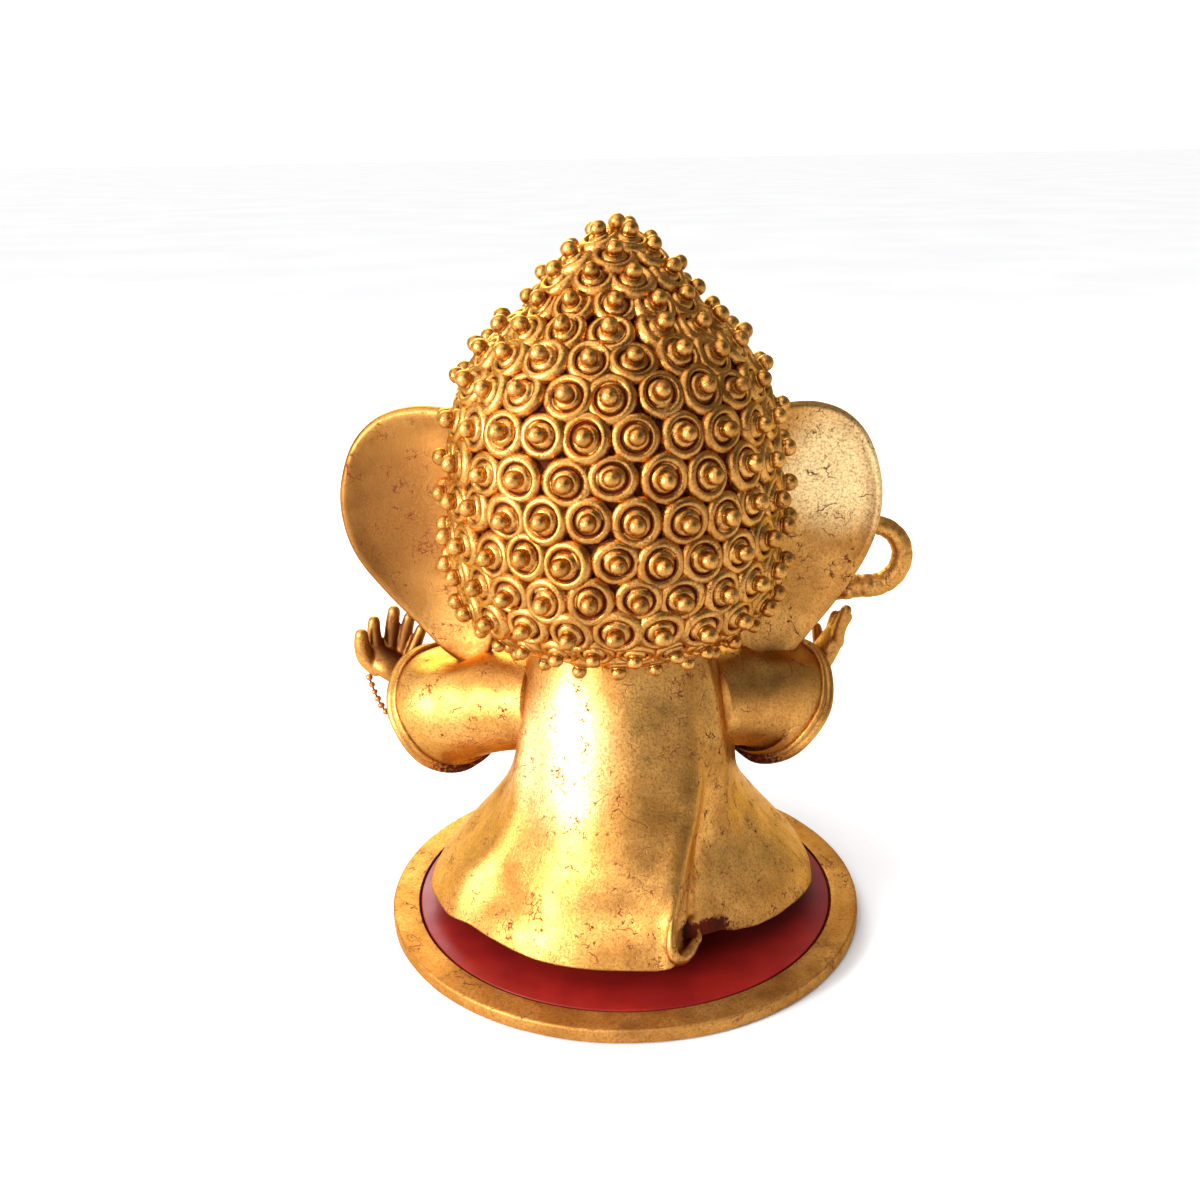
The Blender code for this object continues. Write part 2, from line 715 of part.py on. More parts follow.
def build_ear(side, sign, stretch, drop, head_clear, sleeve_clear):
    """Large flap ear with a rounded edge and a narrow lower tip."""
    middle = (57.0, 126.0)
    rings = []
    for share, offset in ((1.0, 0.0), (0.93, 0.72), (0.6, 1.0)):
        ring = []
        for x, z in rounded(EAR_OUTLINE):
            x = 40.0 + (x - 40.0) * stretch
            z = z - drop * max((120.0 - z) / 40.0, 0.0)
            ring.append((middle[0] + (x - middle[0]) * share, middle[1] + (z - middle[1]) * share))
        rings.append((ring, offset * EAR_THICKNESS / 2))
    count = len(rings[0][0])
    vertices = []
    order = [(2, 1), (1, 1), (0, 0), (1, -1), (2, -1)]
    for index, face in order:
        ring, offset = rings[index]
        vertices.extend(ear_surface(x, z, sign, offset * face) for x, z in ring)
    back = len(vertices)
    vertices.append(ear_surface(*middle, sign, EAR_THICKNESS / 2))
    vertices.append(ear_surface(*middle, sign, -EAR_THICKNESS / 2))
    faces = quads(len(order), count)
    last = (len(order) - 1) * count
    for j in range(count):
        k = (j + 1) % count
        faces.append((back, k, j))
        faces.append((back + 1, last + j, last + k))
    if sign > 0:
        faces = [tuple(reversed(f)) for f in faces]
    ear = add_mesh(f"ear_{side}", vertices, faces)
    boolean(ear, head_clear, "DIFFERENCE")
    boolean(ear, sleeve_clear, "DIFFERENCE")


def build_trunk(head_clear):
    """Trunk that leaves the face, crosses to the figure's right and ends in an open loop."""
    centres = [Vector(point) for point, radius in TRUNK_PATH]
    radii = [radius for point, radius in TRUNK_PATH]
    for i in range(LOOP_STEPS + 1):
        share = i / LOOP_STEPS
        turn = radians(LOOP_START_ANGLE - LOOP_TURN * share)
        centres.append(LOOP_CENTRE + Vector((LOOP_RADIUS * cos(turn), 0.0, LOOP_RADIUS * sin(turn))))
        radii.append(LOOP_TUBE_START + (LOOP_TUBE_END - LOOP_TUBE_START) * share)
    trunk = sweep("trunk", centres, radii, TRUNK_SIDES, up=(0.25, 1.0, 0.0))
    boolean(trunk, head_clear, "DIFFERENCE")


def build_face(head_clear):
    """Tusks, closed eyelids and a dot on the forehead, each held on the head's surface."""
    for side, sign in (("left", 1.0), ("right", -1.0)):
        root = Vector((HEAD_X + TUSK_ROOT[0] * sign, TUSK_ROOT[1], TUSK_ROOT[2]))
        centres = [root + Vector((x * sign, y, z)) for (x, y, z), radius in TUSK_PATH]
        tusk = sweep(f"tusk_{side}", centres, [radius for offset, radius in TUSK_PATH], 8)
        boolean(tusk, head_clear, "DIFFERENCE")
        eye = (HEAD_X + EYE_PLACE[0] * sign, EYE_PLACE[1], EYE_PLACE[2])
        lid = ellipsoid(f"eyelid_{side}", eye, EYELID_SIZE)
        boolean(lid, head_clear, "DIFFERENCE")
    dot = ellipsoid("forehead_dot", (HEAD_X, *DOT_PLACE), (DOT_RADIUS,) * 3)
    boolean(dot, head_clear, "DIFFERENCE")


# ---- Prayer beads ------------------------------------------------------------------


def strand_point(share):
    """Point on the hanging loop of beads, from its outer to its inner end."""
    level = STRAND_OUTER.lerp(STRAND_INNER, share)
    side = abs(2.0 * share - 1.0)
    drop = (STRAND_OUTER.z - STRAND_LOW_Z) * (1.0 - side ** STRAND_FALL)
    return Vector((level.x, level.y, STRAND_OUTER.z - drop))


def strand_places(count):
    """Points at equal distances along the hanging loop."""
    fine = [strand_point(i / 400) for i in range(401)]
    run = [0.0]
    for a, b in zip(fine, fine[1:]):
        run.append(run[-1] + (b - a).length)
    places = []
    for i in range(count):
        want = run[-1] * i / (count - 1)
        k = next((n for n, r in enumerate(run) if r >= want - 1e-9), len(fine) - 1)
        places.append(fine[k])
    return places


def build_mala():
    """The loop of beads that swings from the left hand, with its larger guru bead."""
    pivot = bpy.data.objects.new("mala_pivot", None)
    pivot.location = (STRAND_OUTER + STRAND_INNER) * (0.5 * MM)
    bpy.context.scene.collection.objects.link(pivot)
    places = strand_places(3 * STRAND_BEADS + 1)
    radii = [THREAD_RADIUS if i % 3 == 0 else BEAD_RADIUS for i in range(len(places))]
    across = (STRAND_INNER - STRAND_OUTER).cross(Vector((0.0, 0.0, 1.0)))
    sweep("mala_strand", places, radii, STRAND_SIDES, up=across, parent=pivot)
    low = strand_point(0.5)
    centre = low - Vector((0.0, 0.0, BEAD_RADIUS + GURU_BEAD_RADIUS + GAP))
    ellipsoid("guru_bead", centre, (GURU_BEAD_RADIUS,) * 3, segments=10, rings=6, parent=pivot)


def main():
    """Builds every sub-part in an empty scene."""
    for old in list(bpy.data.objects):
        bpy.data.objects.remove(old, do_unlink=True)
    build_base()
    build_lacquer_disc()
    build_felt_pad()
    build_rod()
    bore = rod_bore()
    build_robe()
    build_core(bore)
    build_feet()
    robe_clear = as_cutter(robe_solid("robe_clear", -GAP))
    left_clear = build_sleeve("left", 1.0, LEFT_CUFF_CENTRE, LEFT_CUFF_FACING, robe_clear)
    right_clear = build_sleeve("right", -1.0, RIGHT_CUFF_CENTRE, RIGHT_CUFF_FACING, robe_clear)
    build_cuff("left", LEFT_CUFF_CENTRE, LEFT_CUFF_FACING)
    build_cuff("right", RIGHT_CUFF_CENTRE, RIGHT_CUFF_FACING)
    build_left_hand(LEFT_CUFF_CENTRE, LEFT_CUFF_FACING)
    build_right_hand(RIGHT_CUFF_CENTRE, RIGHT_CUFF_FACING)
    head_clear = build_head(bore)
    build_topknot()
    build_rows("curl_row", HEAD_X, SKULL_PROFILE, SKULL_ROWS)
    build_rows("topknot_row", TOPKNOT_X, TOPKNOT_PROFILE, TOPKNOT_ROWS)
    build_ear("left", 1.0, 1.10, 0.0, head_clear, left_clear)
    build_ear("right", -1.0, 1.03, 5.0, head_clear, right_clear)
    build_trunk(head_clear)
    build_face(head_clear)
    build_mala()


main()
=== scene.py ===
"""The gilded figure's finished look: fine meshes, materials, light and camera.

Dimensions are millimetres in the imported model's frame, turned into metres by MM.
The figure faces -Y, and +X is its left.
"""

import random
from math import atan2, cos, degrees, exp, pi, radians, sin, sqrt

import bpy
from mathutils import Matrix, Vector, noise


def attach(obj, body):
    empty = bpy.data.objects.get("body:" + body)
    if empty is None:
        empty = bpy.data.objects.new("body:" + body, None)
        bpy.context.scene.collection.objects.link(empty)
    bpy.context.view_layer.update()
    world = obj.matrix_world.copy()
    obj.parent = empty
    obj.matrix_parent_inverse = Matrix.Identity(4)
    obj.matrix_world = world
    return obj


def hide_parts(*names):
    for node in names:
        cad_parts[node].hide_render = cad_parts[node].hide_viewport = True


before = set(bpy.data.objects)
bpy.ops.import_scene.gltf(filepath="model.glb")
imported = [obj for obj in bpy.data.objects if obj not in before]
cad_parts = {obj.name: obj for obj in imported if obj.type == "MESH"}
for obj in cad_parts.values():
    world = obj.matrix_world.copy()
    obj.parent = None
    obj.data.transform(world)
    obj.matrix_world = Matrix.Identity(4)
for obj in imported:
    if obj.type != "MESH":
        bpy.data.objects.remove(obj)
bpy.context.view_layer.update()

MM = 0.001
UP = Vector((0.0, 0.0, 1.0))
BASE_TOP = 4.8
BASE_SIDES = 288
SIDES = (("left", 1.0), ("right", -1.0))

# Camera, at the back of the figure
CAMERA_PLACE = (0.0, 0.3710, 0.2342)
CAMERA_YAW = 0.996
CAMERA_PITCH = 19.41
CAMERA_ROLL = -0.959
CAMERA_LENS = 39.0
CAMERA_SENSOR = 36.0

# Prayer beads: the hanging loop's ends, its lowest height and its beads
STRAND_OUTER = Vector((84.2, -28.0, 67.2))
STRAND_INNER = Vector((64.6, -33.6, 67.2))
STRAND_LOW_Z = 51.0
STRAND_FALL = 2.8
STRAND_BEADS = 16
BEAD_RADIUS = 1.25
THREAD_RADIUS = 0.35
GURU_RADIUS = 2.0
PALM_BEADS = (
    (65.0, -33.6, 68.4), (68.3, -33.4, 70.0), (72.8, -34.8, 70.6),
    (77.4, -36.6, 71.0), (81.2, -35.0, 70.8), (83.6, -31.0, 69.6),
)

# Robe: height, half width in X, depth to the back, depth to the front
ROBE_STATIONS = (
    (10.8, 61.5, 56.0, 52.0), (17.0, 58.8, 53.8, 50.5),
    (24.0, 53.8, 51.5, 49.0), (31.0, 46.8, 49.2, 47.5),
    (39.0, 39.8, 46.5, 45.5), (48.0, 36.2, 43.0, 43.0),
    (60.0, 34.4, 38.5, 39.0), (74.0, 32.0, 33.0, 33.5),
    (84.0, 29.5, 28.5, 27.0), (92.5, 26.5, 26.0, 24.0),
)
# Hem of the robe: angle from the back towards the left, offset outwards, lift
HEM_SHAPE = (
    (-180.0, 0.0, 0.0), (-140.0, 0.0, 0.0), (-105.0, -0.5, 0.5),
    (-80.0, -0.8, 1.0), (-57.0, -3.9, 1.4), (-46.0, -5.6, 1.3),
    (-38.0, -6.8, 1.9), (-31.0, -7.2, 3.8), (-25.0, -6.2, 4.6),
    (-20.5, -3.2, 4.4), (-17.0, 0.0, 3.6), (-13.0, 1.2, 2.7),
    (-8.0, 1.2, 1.0), (7.0, 1.1, 0.5), (22.0, 0.6, 0.6),
    (40.0, -1.2, 1.1), (52.0, -1.9, 0.9), (62.0, -0.8, 0.1),
    (80.0, 1.4, -0.2), (110.0, 0.0, 0.0), (180.0, 0.0, 0.0),
)
ROBE_WALL = 1.9
# Rolled lip where the pleat meets the hem: angle, share up the robe, inset, radius
FOLD_LIP = (
    (-14.4, 0.250, 1.0, 0.6), (-12.6, 0.185, 0.2, 1.1), (-11.9, 0.115, -0.2, 1.5),
    (-12.6, 0.055, -0.3, 1.8), (-14.6, 0.012, -0.8, 1.9), (-17.4, 0.002, -3.8, 1.7),
    (-20.2, 0.004, -3.6, 1.4), (-22.0, 0.020, -1.4, 1.0), (-23.0, 0.045, 0.8, 0.6),
)
PLEAT_START = -38.0
PLEAT_END = -11.5
ROBE_ROWS = 84
ROBE_COLUMNS = 360
FRONT_HEM_LIFT = 5.0

# Sleeves
SLEEVE_ROOT = (24.0, 2.0, 71.0)
LEFT_CUFF = Vector((57.2, -17.0, 61.4))
LEFT_FACING = Vector((0.63, -0.60, -0.49)).normalized()
RIGHT_CUFF = Vector((-50.0, -17.0, 62.8))
RIGHT_FACING = Vector((-0.69, -0.46, -0.56)).normalized()
CUFF_RADIUS = 20.2
SLEEVE_SIDES = 96
SLEEVE_STEPS = 40
CUFF_SIDES = 144
# From the cuff into the sleeve's hollow: distance along it, radius
SLEEVE_RIM = (
    (0.3, 19.9), (0.6, 19.6), (0.9, 19.0), (0.6, 18.2), (-1.0, 17.6),
    (-4.0, 16.0), (-7.0, 12.0), (-8.6, 7.0), (-9.0, 2.0),
)
# Band round the cuff: distance along the sleeve, radius
CUFF_SECTION = (
    (-3.2, 20.0), (-2.9, 20.9), (-2.2, 21.3), (-1.5, 21.0), (-0.9, 20.1),
    (-0.6, 20.9), (0.1, 21.6), (1.1, 21.8), (1.9, 21.2), (2.3, 20.0),
    (1.8, 18.9), (0.9, 18.5), (-0.6, 18.6), (-2.0, 19.2),
)

# Hands: centres, half widths and half heights from the wrist to the knuckles
ARM_RADIUS = 6.0
LEFT_PALM = (
    ((70.0, -26.5, 66.8), 4.4, 4.2),
    ((77.5, -29.5, 71.4), 6.6, 4.2),
    ((81.6, -31.5, 75.6), 4.0, 2.8),
)
RIGHT_PALM = (
    ((-62.0, -25.0, 69.5), 4.4, 4.6),
    ((-67.4, -26.8, 77.0), 4.0, 6.8),
    ((-69.6, -26.5, 82.0), 3.0, 5.8),
)
# Thumbs and fingers: root, tip, radius at each, bend
LEFT_DIGITS = (
    ((81.6, -27.8, 70.7), (85.2, -25.6, 83.2), 2.95, 2.2, (1.6, 0.0, -0.6)),
    ((81.0, -31.5, 75.0), (81.9, -31.5, 85.6), 2.5, 2.05, (0.7, 0.0, 0.0)),
    ((77.0, -33.5, 73.5), (75.4, -33.5, 88.4), 2.55, 2.1, (0.5, -0.4, 0.0)),
    ((73.8, -33.3, 72.0), (70.4, -33.6, 86.2), 2.4, 2.0, (0.3, -0.5, 0.0)),
    ((71.6, -30.8, 69.5), (66.4, -32.0, 82.6), 2.3, 1.9, (0.2, -0.4, 0.0)),
)
RIGHT_DIGITS = (
    ((-69.8, -22.5, 80.0), (-72.0, -21.5, 91.5), 2.15, 1.8, (0.6, 0.0, 0.0)),
    ((-70.2, -25.2, 81.0), (-72.6, -23.6, 88.4), 2.25, 1.9, (0.6, 0.0, 0.0)),
    ((-70.0, -28.0, 80.6), (-71.4, -27.2, 87.6), 2.25, 1.9, (0.5, 0.0, 0.0)),
    ((-69.6, -30.8, 79.0), (-70.2, -30.6, 86.4), 2.15, 1.8, (0.4, 0.0, 0.0)),
    ((-66.0, -31.0, 74.0), (-65.2, -36.5, 80.0), 2.1, 1.7, (0.0, -1.0, 0.0)),
)

# Head: radius and height of the skull and of the topknot
HEAD_X = 1.6
SKULL_PROFILE = (
    (27.0, 95.5), (34.0, 98.0), (40.0, 102.5), (44.0, 109.0),
    (45.8, 117.0), (46.4, 128.0), (46.0, 142.0), (45.0, 154.0),
    (42.8, 165.0), (38.0, 174.3), (32.3, 181.3), (26.5, 186.5),
)
TOPKNOT_PROFILE = (
    (24.8, 186.9), (23.2, 191.0), (18.4, 198.0), (12.2, 204.5), (5.6, 209.0),
)

# Curls: distances of their rows along the profiles, from the nape up
SKULL_ROWS = (7.0, 14.9, 23.4, 32.8, 43.4, 54.2, 65.0, 75.8, 86.4, 96.6, 105.2)
TOPKNOT_ROWS = (5.5, 13.4, 20.9, 27.4)
CAD_SKULL_ROWS = 10
CAD_TOPKNOT_ROWS = 3
CURL_PITCH = 11.3
ROW_WAVE = 0.9
TOPKNOT_INSET = 2.0
TOPKNOT_CURLS_X = 1.0
OPEN_ROW_HALF_ANGLE = 96.0
CLOSED_ROW_HEIGHT = 166.0

# Ears: the left one's outline as distance from the head's axis and height
EAR_OUTLINE = (
    (40.0, 158.5), (51.0, 160.2), (61.0, 159.8), (70.2, 155.8),
    (77.0, 147.4), (80.9, 134.0), (80.4, 121.5), (76.4, 110.6),
    (68.6, 99.0), (60.6, 89.6), (53.0, 81.0), (45.0, 77.6),
    (38.6, 86.0), (38.0, 108.0), (38.0, 126.0), (38.0, 144.0),
)
# From the ear's middle to its rim: share of the way, share of half the thickness
EAR_SECTION = (
    (0.02, 0.62), (0.25, 0.60), (0.5, 0.60), (0.7, 0.62), (0.82, 0.74),
    (0.90, 1.06), (0.94, 1.16), (0.97, 1.02), (0.99, 0.66), (1.0, 0.0),
)
EAR_SIDES = 160
EAR_THICKNESS = 4.4
EAR_MIDDLE = (57.0, 126.0)
EAR_ROOT_X = 40.0
EAR_WIDTH = 41.0
EAR_ROOT_Y = -10.5
EAR_SWEEP = 7.5
EAR_DISH = 2.5

# Trunk: centre and radius along it, to the start of its loop
TRUNK_PATH = (
    (2.0, -34.0, 124.0, 12.5), (2.0, -48.0, 117.0, 12.0), (0.5, -56.5, 106.0, 10.4),
    (-6.0, -59.5, 96.5, 9.0), (-19.0, -58.5, 91.0, 7.8), (-34.0, -53.0, 90.0, 6.8),
    (-49.0, -45.0, 91.5, 5.8), (-62.0, -37.5, 94.0, 4.9), (-72.0, -32.5, 95.6, 4.1),
)
TRUNK_STEPS = 60
TRUNK_SIDES = 48
# Rounded tip: distance past the last ring, share of its radius
TRUNK_TIP = ((0.7, 0.93), (1.2, 0.75), (1.3, 0.5), (0.6, 0.38), (-2.0, 0.34))
LOOP_CENTRE = Vector((-80.4, -30.5, 107.0))
LOOP_RADIUS = 10.3
LOOP_TUBE_START = 3.7
LOOP_TUBE_END = 2.6
LOOP_START_ANGLE = 275.0
LOOP_TURN = 245.0
CREASE_SPACING = 3.4

# Face: the masses of each side, then those of the middle, as centres and half sizes
FACE_SIDES = (
    ((21.0, -31.0, 114.0), (15.0, 14.5, 20.0)),
    ((13.0, -31.0, 155.0), (16.0, 15.5, 17.0)),
    ((19.0, -37.0, 146.5), (14.0, 8.6, 5.0)),
)
FACE_MIDDLE = (((0.0, -33.0, 126.0), (15.5, 17.5, 22.0)), ((0.0, -33.0, 101.0), (15.0, 13.0, 9.0)))
# Closed eyes, tusks and the drop on the forehead
EYE_PLACE = (19.0, -40.5, 137.0)
TUSK_ROOT = (17.0, -36.0, 112.0)
TUSK_PATH = ((0.0, 0.0, 0.0), (2.4, -12.0, -4.0), (3.8, -19.0, -4.4), (4.2, -24.0, -3.2))
TUSK_RADII = (3.2, 2.7, 1.8, 0.6)
DOT_PLACE = (-45.2, 150.0)

# A curl's section from its outer edge in: radius, height, how much bole shows (at the groove and the
# curl's foot partly painted shade)
CURL_SECTION = (
    (5.8, -1.0, 1.0), (6.2, -0.2, 0.9), (6.25, 0.6, 0.4),
    (6.05, 1.35, 0.0), (5.65, 1.95, 0.0), (5.05, 2.35, 0.0),
    (4.4, 2.4, 0.0), (3.98, 2.15, 0.1), (3.82, 1.5, 0.9),
    (3.64, 1.2, 1.0), (3.46, 1.5, 0.9), (3.28, 2.1, 0.1),
    (3.0, 2.5, 0.0), (2.6, 2.75, 0.0), (2.1, 2.95, 0.2),
)
# Skirt under a topknot cup: radius, height, how much bole shows, partly painted shade under the cup
CUP_SKIRT = ((3.6, -4.8, 1.0), (4.8, -3.5, 0.7), (5.7, -1.8, 0.25))
BALL_RADIUS = 2.3
BALL_SINK = 1.2
CURL_SIDES = 26

# Finial: radius and height of its cone, then its ball
FINIAL_CONE = ((4.6, 206.0), (4.4, 208.4), (3.6, 209.6), (2.2, 210.4), (1.5, 211.2), (1.5, 211.6))
FINIAL_BALL_Z = 213.3
FINIAL_BALL_RADIUS = 2.5

# Colours of the gilding and of the red ground under it
GOLD_LIGHT = (0.70, 0.36, 0.095)
GOLD_DEEP = (0.47, 0.215, 0.048)
GOLD_DULL = (0.24, 0.095, 0.021)
# Patches painted into the leaf, each a place, a radius and a colour: the pale ones on the right ear and
# the robe are painted highlights, the dark ones on the left ear and the hand are painted shade
EAR_PAINTED_HIGHLIGHT = ((-68.0, -18.0, 139.0), 27.0, (0.93, 0.70, 0.34))
EAR_PAINTED_SHADE = ((66.0, -17.0, 126.0), 38.0, (0.15, 0.056, 0.013))
HAND_PAINTED_SHADE = ((75.0, -32.5, 79.0), 15.0, (0.13, 0.034, 0.012))
ROBE_PAINTED_HIGHLIGHT = ((24.0, 32.0, 67.0), 28.0, (0.90, 0.64, 0.30))
GOLD_EDGE = (1.0, 0.74, 0.40)
SEAM_BROWN = (0.11, 0.020, 0.009)
BOLE_RED = (0.105, 0.014, 0.008)
BOLE_BROWN = (0.055, 0.015, 0.007)

# Brightness of the surroundings: horizon, zenith, the room behind the camera, both sides
SKY_EDGE = 1.15
SKY_TOP = 0.75
SKY_ROOM = 0.26
SKY_DIM_SIDE = 0.42
SKY_BRIGHT_SIDE = 1.25
# Lights: places and sizes in metres, power in watts
LIGHT_AIM = Vector((0.0, 0.0, 0.10))
SUN_PLACE = (0.45, 0.25, 1.0)
SUN_STRENGTH = 2.2
SUN_SPREAD = 70.0
SOFT_LIGHTS = (
    ("window", (0.85, 0.58, 0.34), 0.34, 18.0),
    ("back", (0.22, 0.95, 0.50), 0.40, 2.5),
    ("front", (0.25, -0.95, 0.55), 0.6, 9.0),
)
FLOOR_HALF = 20.0


# ---- Camera ----


def in_scene(name, data):
    """A new object in the scene."""
    made = bpy.data.objects.new(name, data)
    bpy.context.scene.collection.objects.link(made)
    return made


def make_camera():
    """The camera behind the figure, looking slightly down."""
    data = bpy.data.cameras.new("camera")
    data.lens = CAMERA_LENS
    data.sensor_width = CAMERA_SENSOR
    camera = in_scene("camera", data)
    yaw = radians(CAMERA_YAW)
    pitch = radians(CAMERA_PITCH)
    look = Vector((cos(pitch) * sin(yaw), -cos(pitch) * cos(yaw), -sin(pitch)))
    turn = look.to_track_quat("-Z", "Y").to_matrix().to_4x4()
    turn = turn @ Matrix.Rotation(radians(CAMERA_ROLL), 4, "Z")
    camera.matrix_world = Matrix.Translation(CAMERA_PLACE) @ turn
    bpy.context.scene.camera = camera


# ---- Shape helpers ----


def lerp(a, b, share):
    return a + (b - a) * share


def step_up(low, high, value):
    """0 below low, 1 above high, smooth between."""
    share = min(max((value - low) / (high - low), 0.0), 1.0)
    return share * share * (3.0 - 2.0 * share)


def hill(distance, width):
    """1 at no distance, falling off smoothly over the width."""
    return exp(-((distance / width) ** 2))


def eased(a, b, c, d, share):
    """A share of the way from b to c on a smooth curve that comes from a and goes on to d."""
    square = share * share
    cube = square * share
    value = b * (2 * cube - 3 * square + 1) + c * (3 * square - 2 * cube)
    return value + (c - a) * 0.5 * (cube - 2 * square + share) + (d - b) * 0.5 * (cube - square)


def spline(rows, share):
    """The values at a share of the way along a table, on a smooth curve through its rows."""
    last = len(rows) - 1
    place = min(max(share, 0.0), 1.0) * last
    i = min(int(place), last - 1)
    near = (rows[max(i - 1, 0)], rows[i], rows[i + 1], rows[min(i + 2, last)])
    return [eased(*values, place - i) for values in zip(*near)]


def smooth_loop(outline, count):
    """Points on a smooth closed curve through the outline."""
    points = []
    for k in range(count):
        place = k * len(outline) / count
        i = int(place)
        near = [Vector(outline[(i + j) % len(outline)]) for j in (-1, 0, 1, 2)]
        points.append(eased(*near, place - i))
    return points


def course(rows, steps):
    """Rings on a smooth curve through rows of x, y, z and sizes, each a centre and its sizes."""
    rings = []
    for i in range(steps + 1):
        x, y, z, *sizes = spline(rows, i / steps)
        rings.append((Vector((x, y, z)), *sizes))
    return rings


def turns(count):
    """Angles spread evenly round a circle, in radians."""
    return [2 * pi * i / count for i in range(count)]


def wander(point, size, seed=0.0):
    """Smooth noise from -1 to 1 that changes over the given size in millimetres."""
    return noise.noise(Vector(point) / size + Vector((seed, 2.7 * seed, 0.0)))


def add_bole(mesh, values):
    """Stores how much red bole shows at each vertex, for the gilded materials; in deep grooves, gaps and
    on undersides it is partly painted shade.
    """
    mesh.attributes.new("bole", "FLOAT", "POINT").data.foreach_set("value", values)


def add_piece(name, vertices, faces, material, bole=None):
    """A smooth mesh object from millimetre vertices, with bole as a value per vertex."""
    mesh = bpy.data.meshes.new(name)
    mesh.from_pydata([Vector(v) * MM for v in vertices], [], faces)
    mesh.materials.append(material)
    mesh.shade_smooth()
    if bole:
        add_bole(mesh, bole)
    return in_scene(name, mesh)


def finish_piece(piece, body, *nodes):
    """Puts a piece on its body in place of its CAD nodes."""
    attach(piece, body)
    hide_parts(*nodes)


def stand_in(name, node, vertices, faces, material, bole=None, body="root"):
    """A mesh piece that rides on a body in place of one CAD node."""
    piece = add_piece(name, vertices, faces, material, bole)
    finish_piece(piece, body, node)
    return piece


def grid_faces(rows, columns, closed_rows=False):
    """Faces of a grid whose columns wrap round; closed rows wrap as well."""
    faces = []
    for i in range(rows if closed_rows else rows - 1):
        low = i * columns
        high = ((i + 1) % rows) * columns
        for j in range(columns):
            k = (j + 1) % columns
            faces.append((low + j, low + k, high + k, high + j))
    return faces


def capped_faces(rows, columns, flipped=False):
    """Faces of a grid whose columns wrap round, with a cap on its first and its last row."""
    faces = grid_faces(rows, columns)
    faces.append(tuple(reversed(range(columns))))
    faces.append(tuple(range((rows - 1) * columns, rows * columns)))
    return [f[::-1] for f in faces] if flipped else faces


def lathe_mesh(profile, segments, axis_x=0.0, closed=False):
    """Vertices and faces of a body of revolution about an upright axis."""
    vertices = []
    for radius, height in profile:
        for turn in turns(segments):
            vertices.append((axis_x + radius * cos(turn), radius * sin(turn), height))
    if closed:
        return vertices, grid_faces(len(profile), segments, closed_rows=True)
    return vertices, capped_faces(len(profile), segments)


def crossways(ahead, up=UP):
    """The directions sideways and towards up, both at right angles to the way ahead."""
    side = ahead.cross(Vector(up)).normalized()
    return side, side.cross(ahead).normalized()


def tube_mesh(rings, sides, up):
    """Vertices and faces of a capped tube through rings of centre, half width and half height."""
    vertices = []
    for i, (centre, wide, tall) in enumerate(rings):
        before = rings[max(i - 1, 0)][0]
        after = rings[min(i + 1, len(rings) - 1)][0]
        side, top = crossways((after - before).normalized(), up)
        for turn in turns(sides):
            vertices.append(centre + side * (wide * cos(turn)) + top * (tall * sin(turn)))
    return vertices, capped_faces(len(rings), sides, flipped=True)


def smooth_tube(path, radii, sides, steps, up=UP, heights=None):
    """A tube on a smooth curve through a few centres, with rounded ends."""
    heights = heights or radii
    rings = course([(*p, r, h) for p, r, h in zip(path, radii, heights)], steps)
    first = (rings[0][0] - rings[1][0]).normalized()
    last = (rings[-1][0] - rings[-2][0]).normalized()
    for share in (0.35, 0.7, 0.92):
        narrow = sqrt(1.0 - share * share)
        start = Vector(path[0]) + first * (radii[0] * share)
        end = Vector(path[-1]) + last * (radii[-1] * share)
        rings.insert(0, (start, radii[0] * narrow, heights[0] * narrow))
        rings.append((end, radii[-1] * narrow, heights[-1] * narrow))
    return tube_mesh(rings, sides, up)


def arc(centre, radius, start, end, steps=5):
    """Profile points on an arc, with its angles in degrees."""
    points = []
    for i in range(steps + 1):
        turn = radians(lerp(start, end, i / steps))
        points.append((centre[0] + radius * cos(turn), centre[1] + radius * sin(turn)))
    return points


def ball_mesh(centre, size, segments=24, rings=14):
    """Vertices and faces of an ellipsoid of the given half sizes."""
    profile = []
    for i in range(rings + 1):
        tilt = -pi / 2 + pi * (i + 0.02) / (rings + 0.04)
        profile.append((cos(tilt), sin(tilt)))
    vertices, faces = lathe_mesh(profile, segments)
    placed = [Vector((x * size[0], y * size[1], z * size[2])) for x, y, z in vertices]
    return [point + Vector(centre) for point in placed], faces


def joined(meshes):
    """Several meshes as one list of vertices and one of faces."""
    vertices = []
    faces = []
    for more_vertices, more_faces in meshes:
        start = len(vertices)
        vertices.extend(more_vertices)
        faces.extend(tuple(start + k for k in f) for f in more_faces)
    return vertices, faces


def fused(name, nodes, meshes, voxel, passes, material):
    """Overlapping shapes remeshed into one smooth piece in place of CAD nodes of the root."""
    piece = add_piece(name, *joined(meshes), material)
    remesh = piece.modifiers.new("remesh", "REMESH")
    remesh.mode = "VOXEL"
    remesh.voxel_size = voxel * MM
    soften = piece.modifiers.new("soften", "SMOOTH")
    soften.factor = 0.5
    soften.iterations = passes
    graph = bpy.context.evaluated_depsgraph_get()
    mesh = bpy.data.meshes.new_from_object(piece.evaluated_get(graph))
    old = piece.data
    piece.modifiers.clear()
    piece.data = mesh
    bpy.data.meshes.remove(old)
    mesh.shade_smooth()
    finish_piece(piece, "root", *nodes)
    return piece


# ---- Materials ----


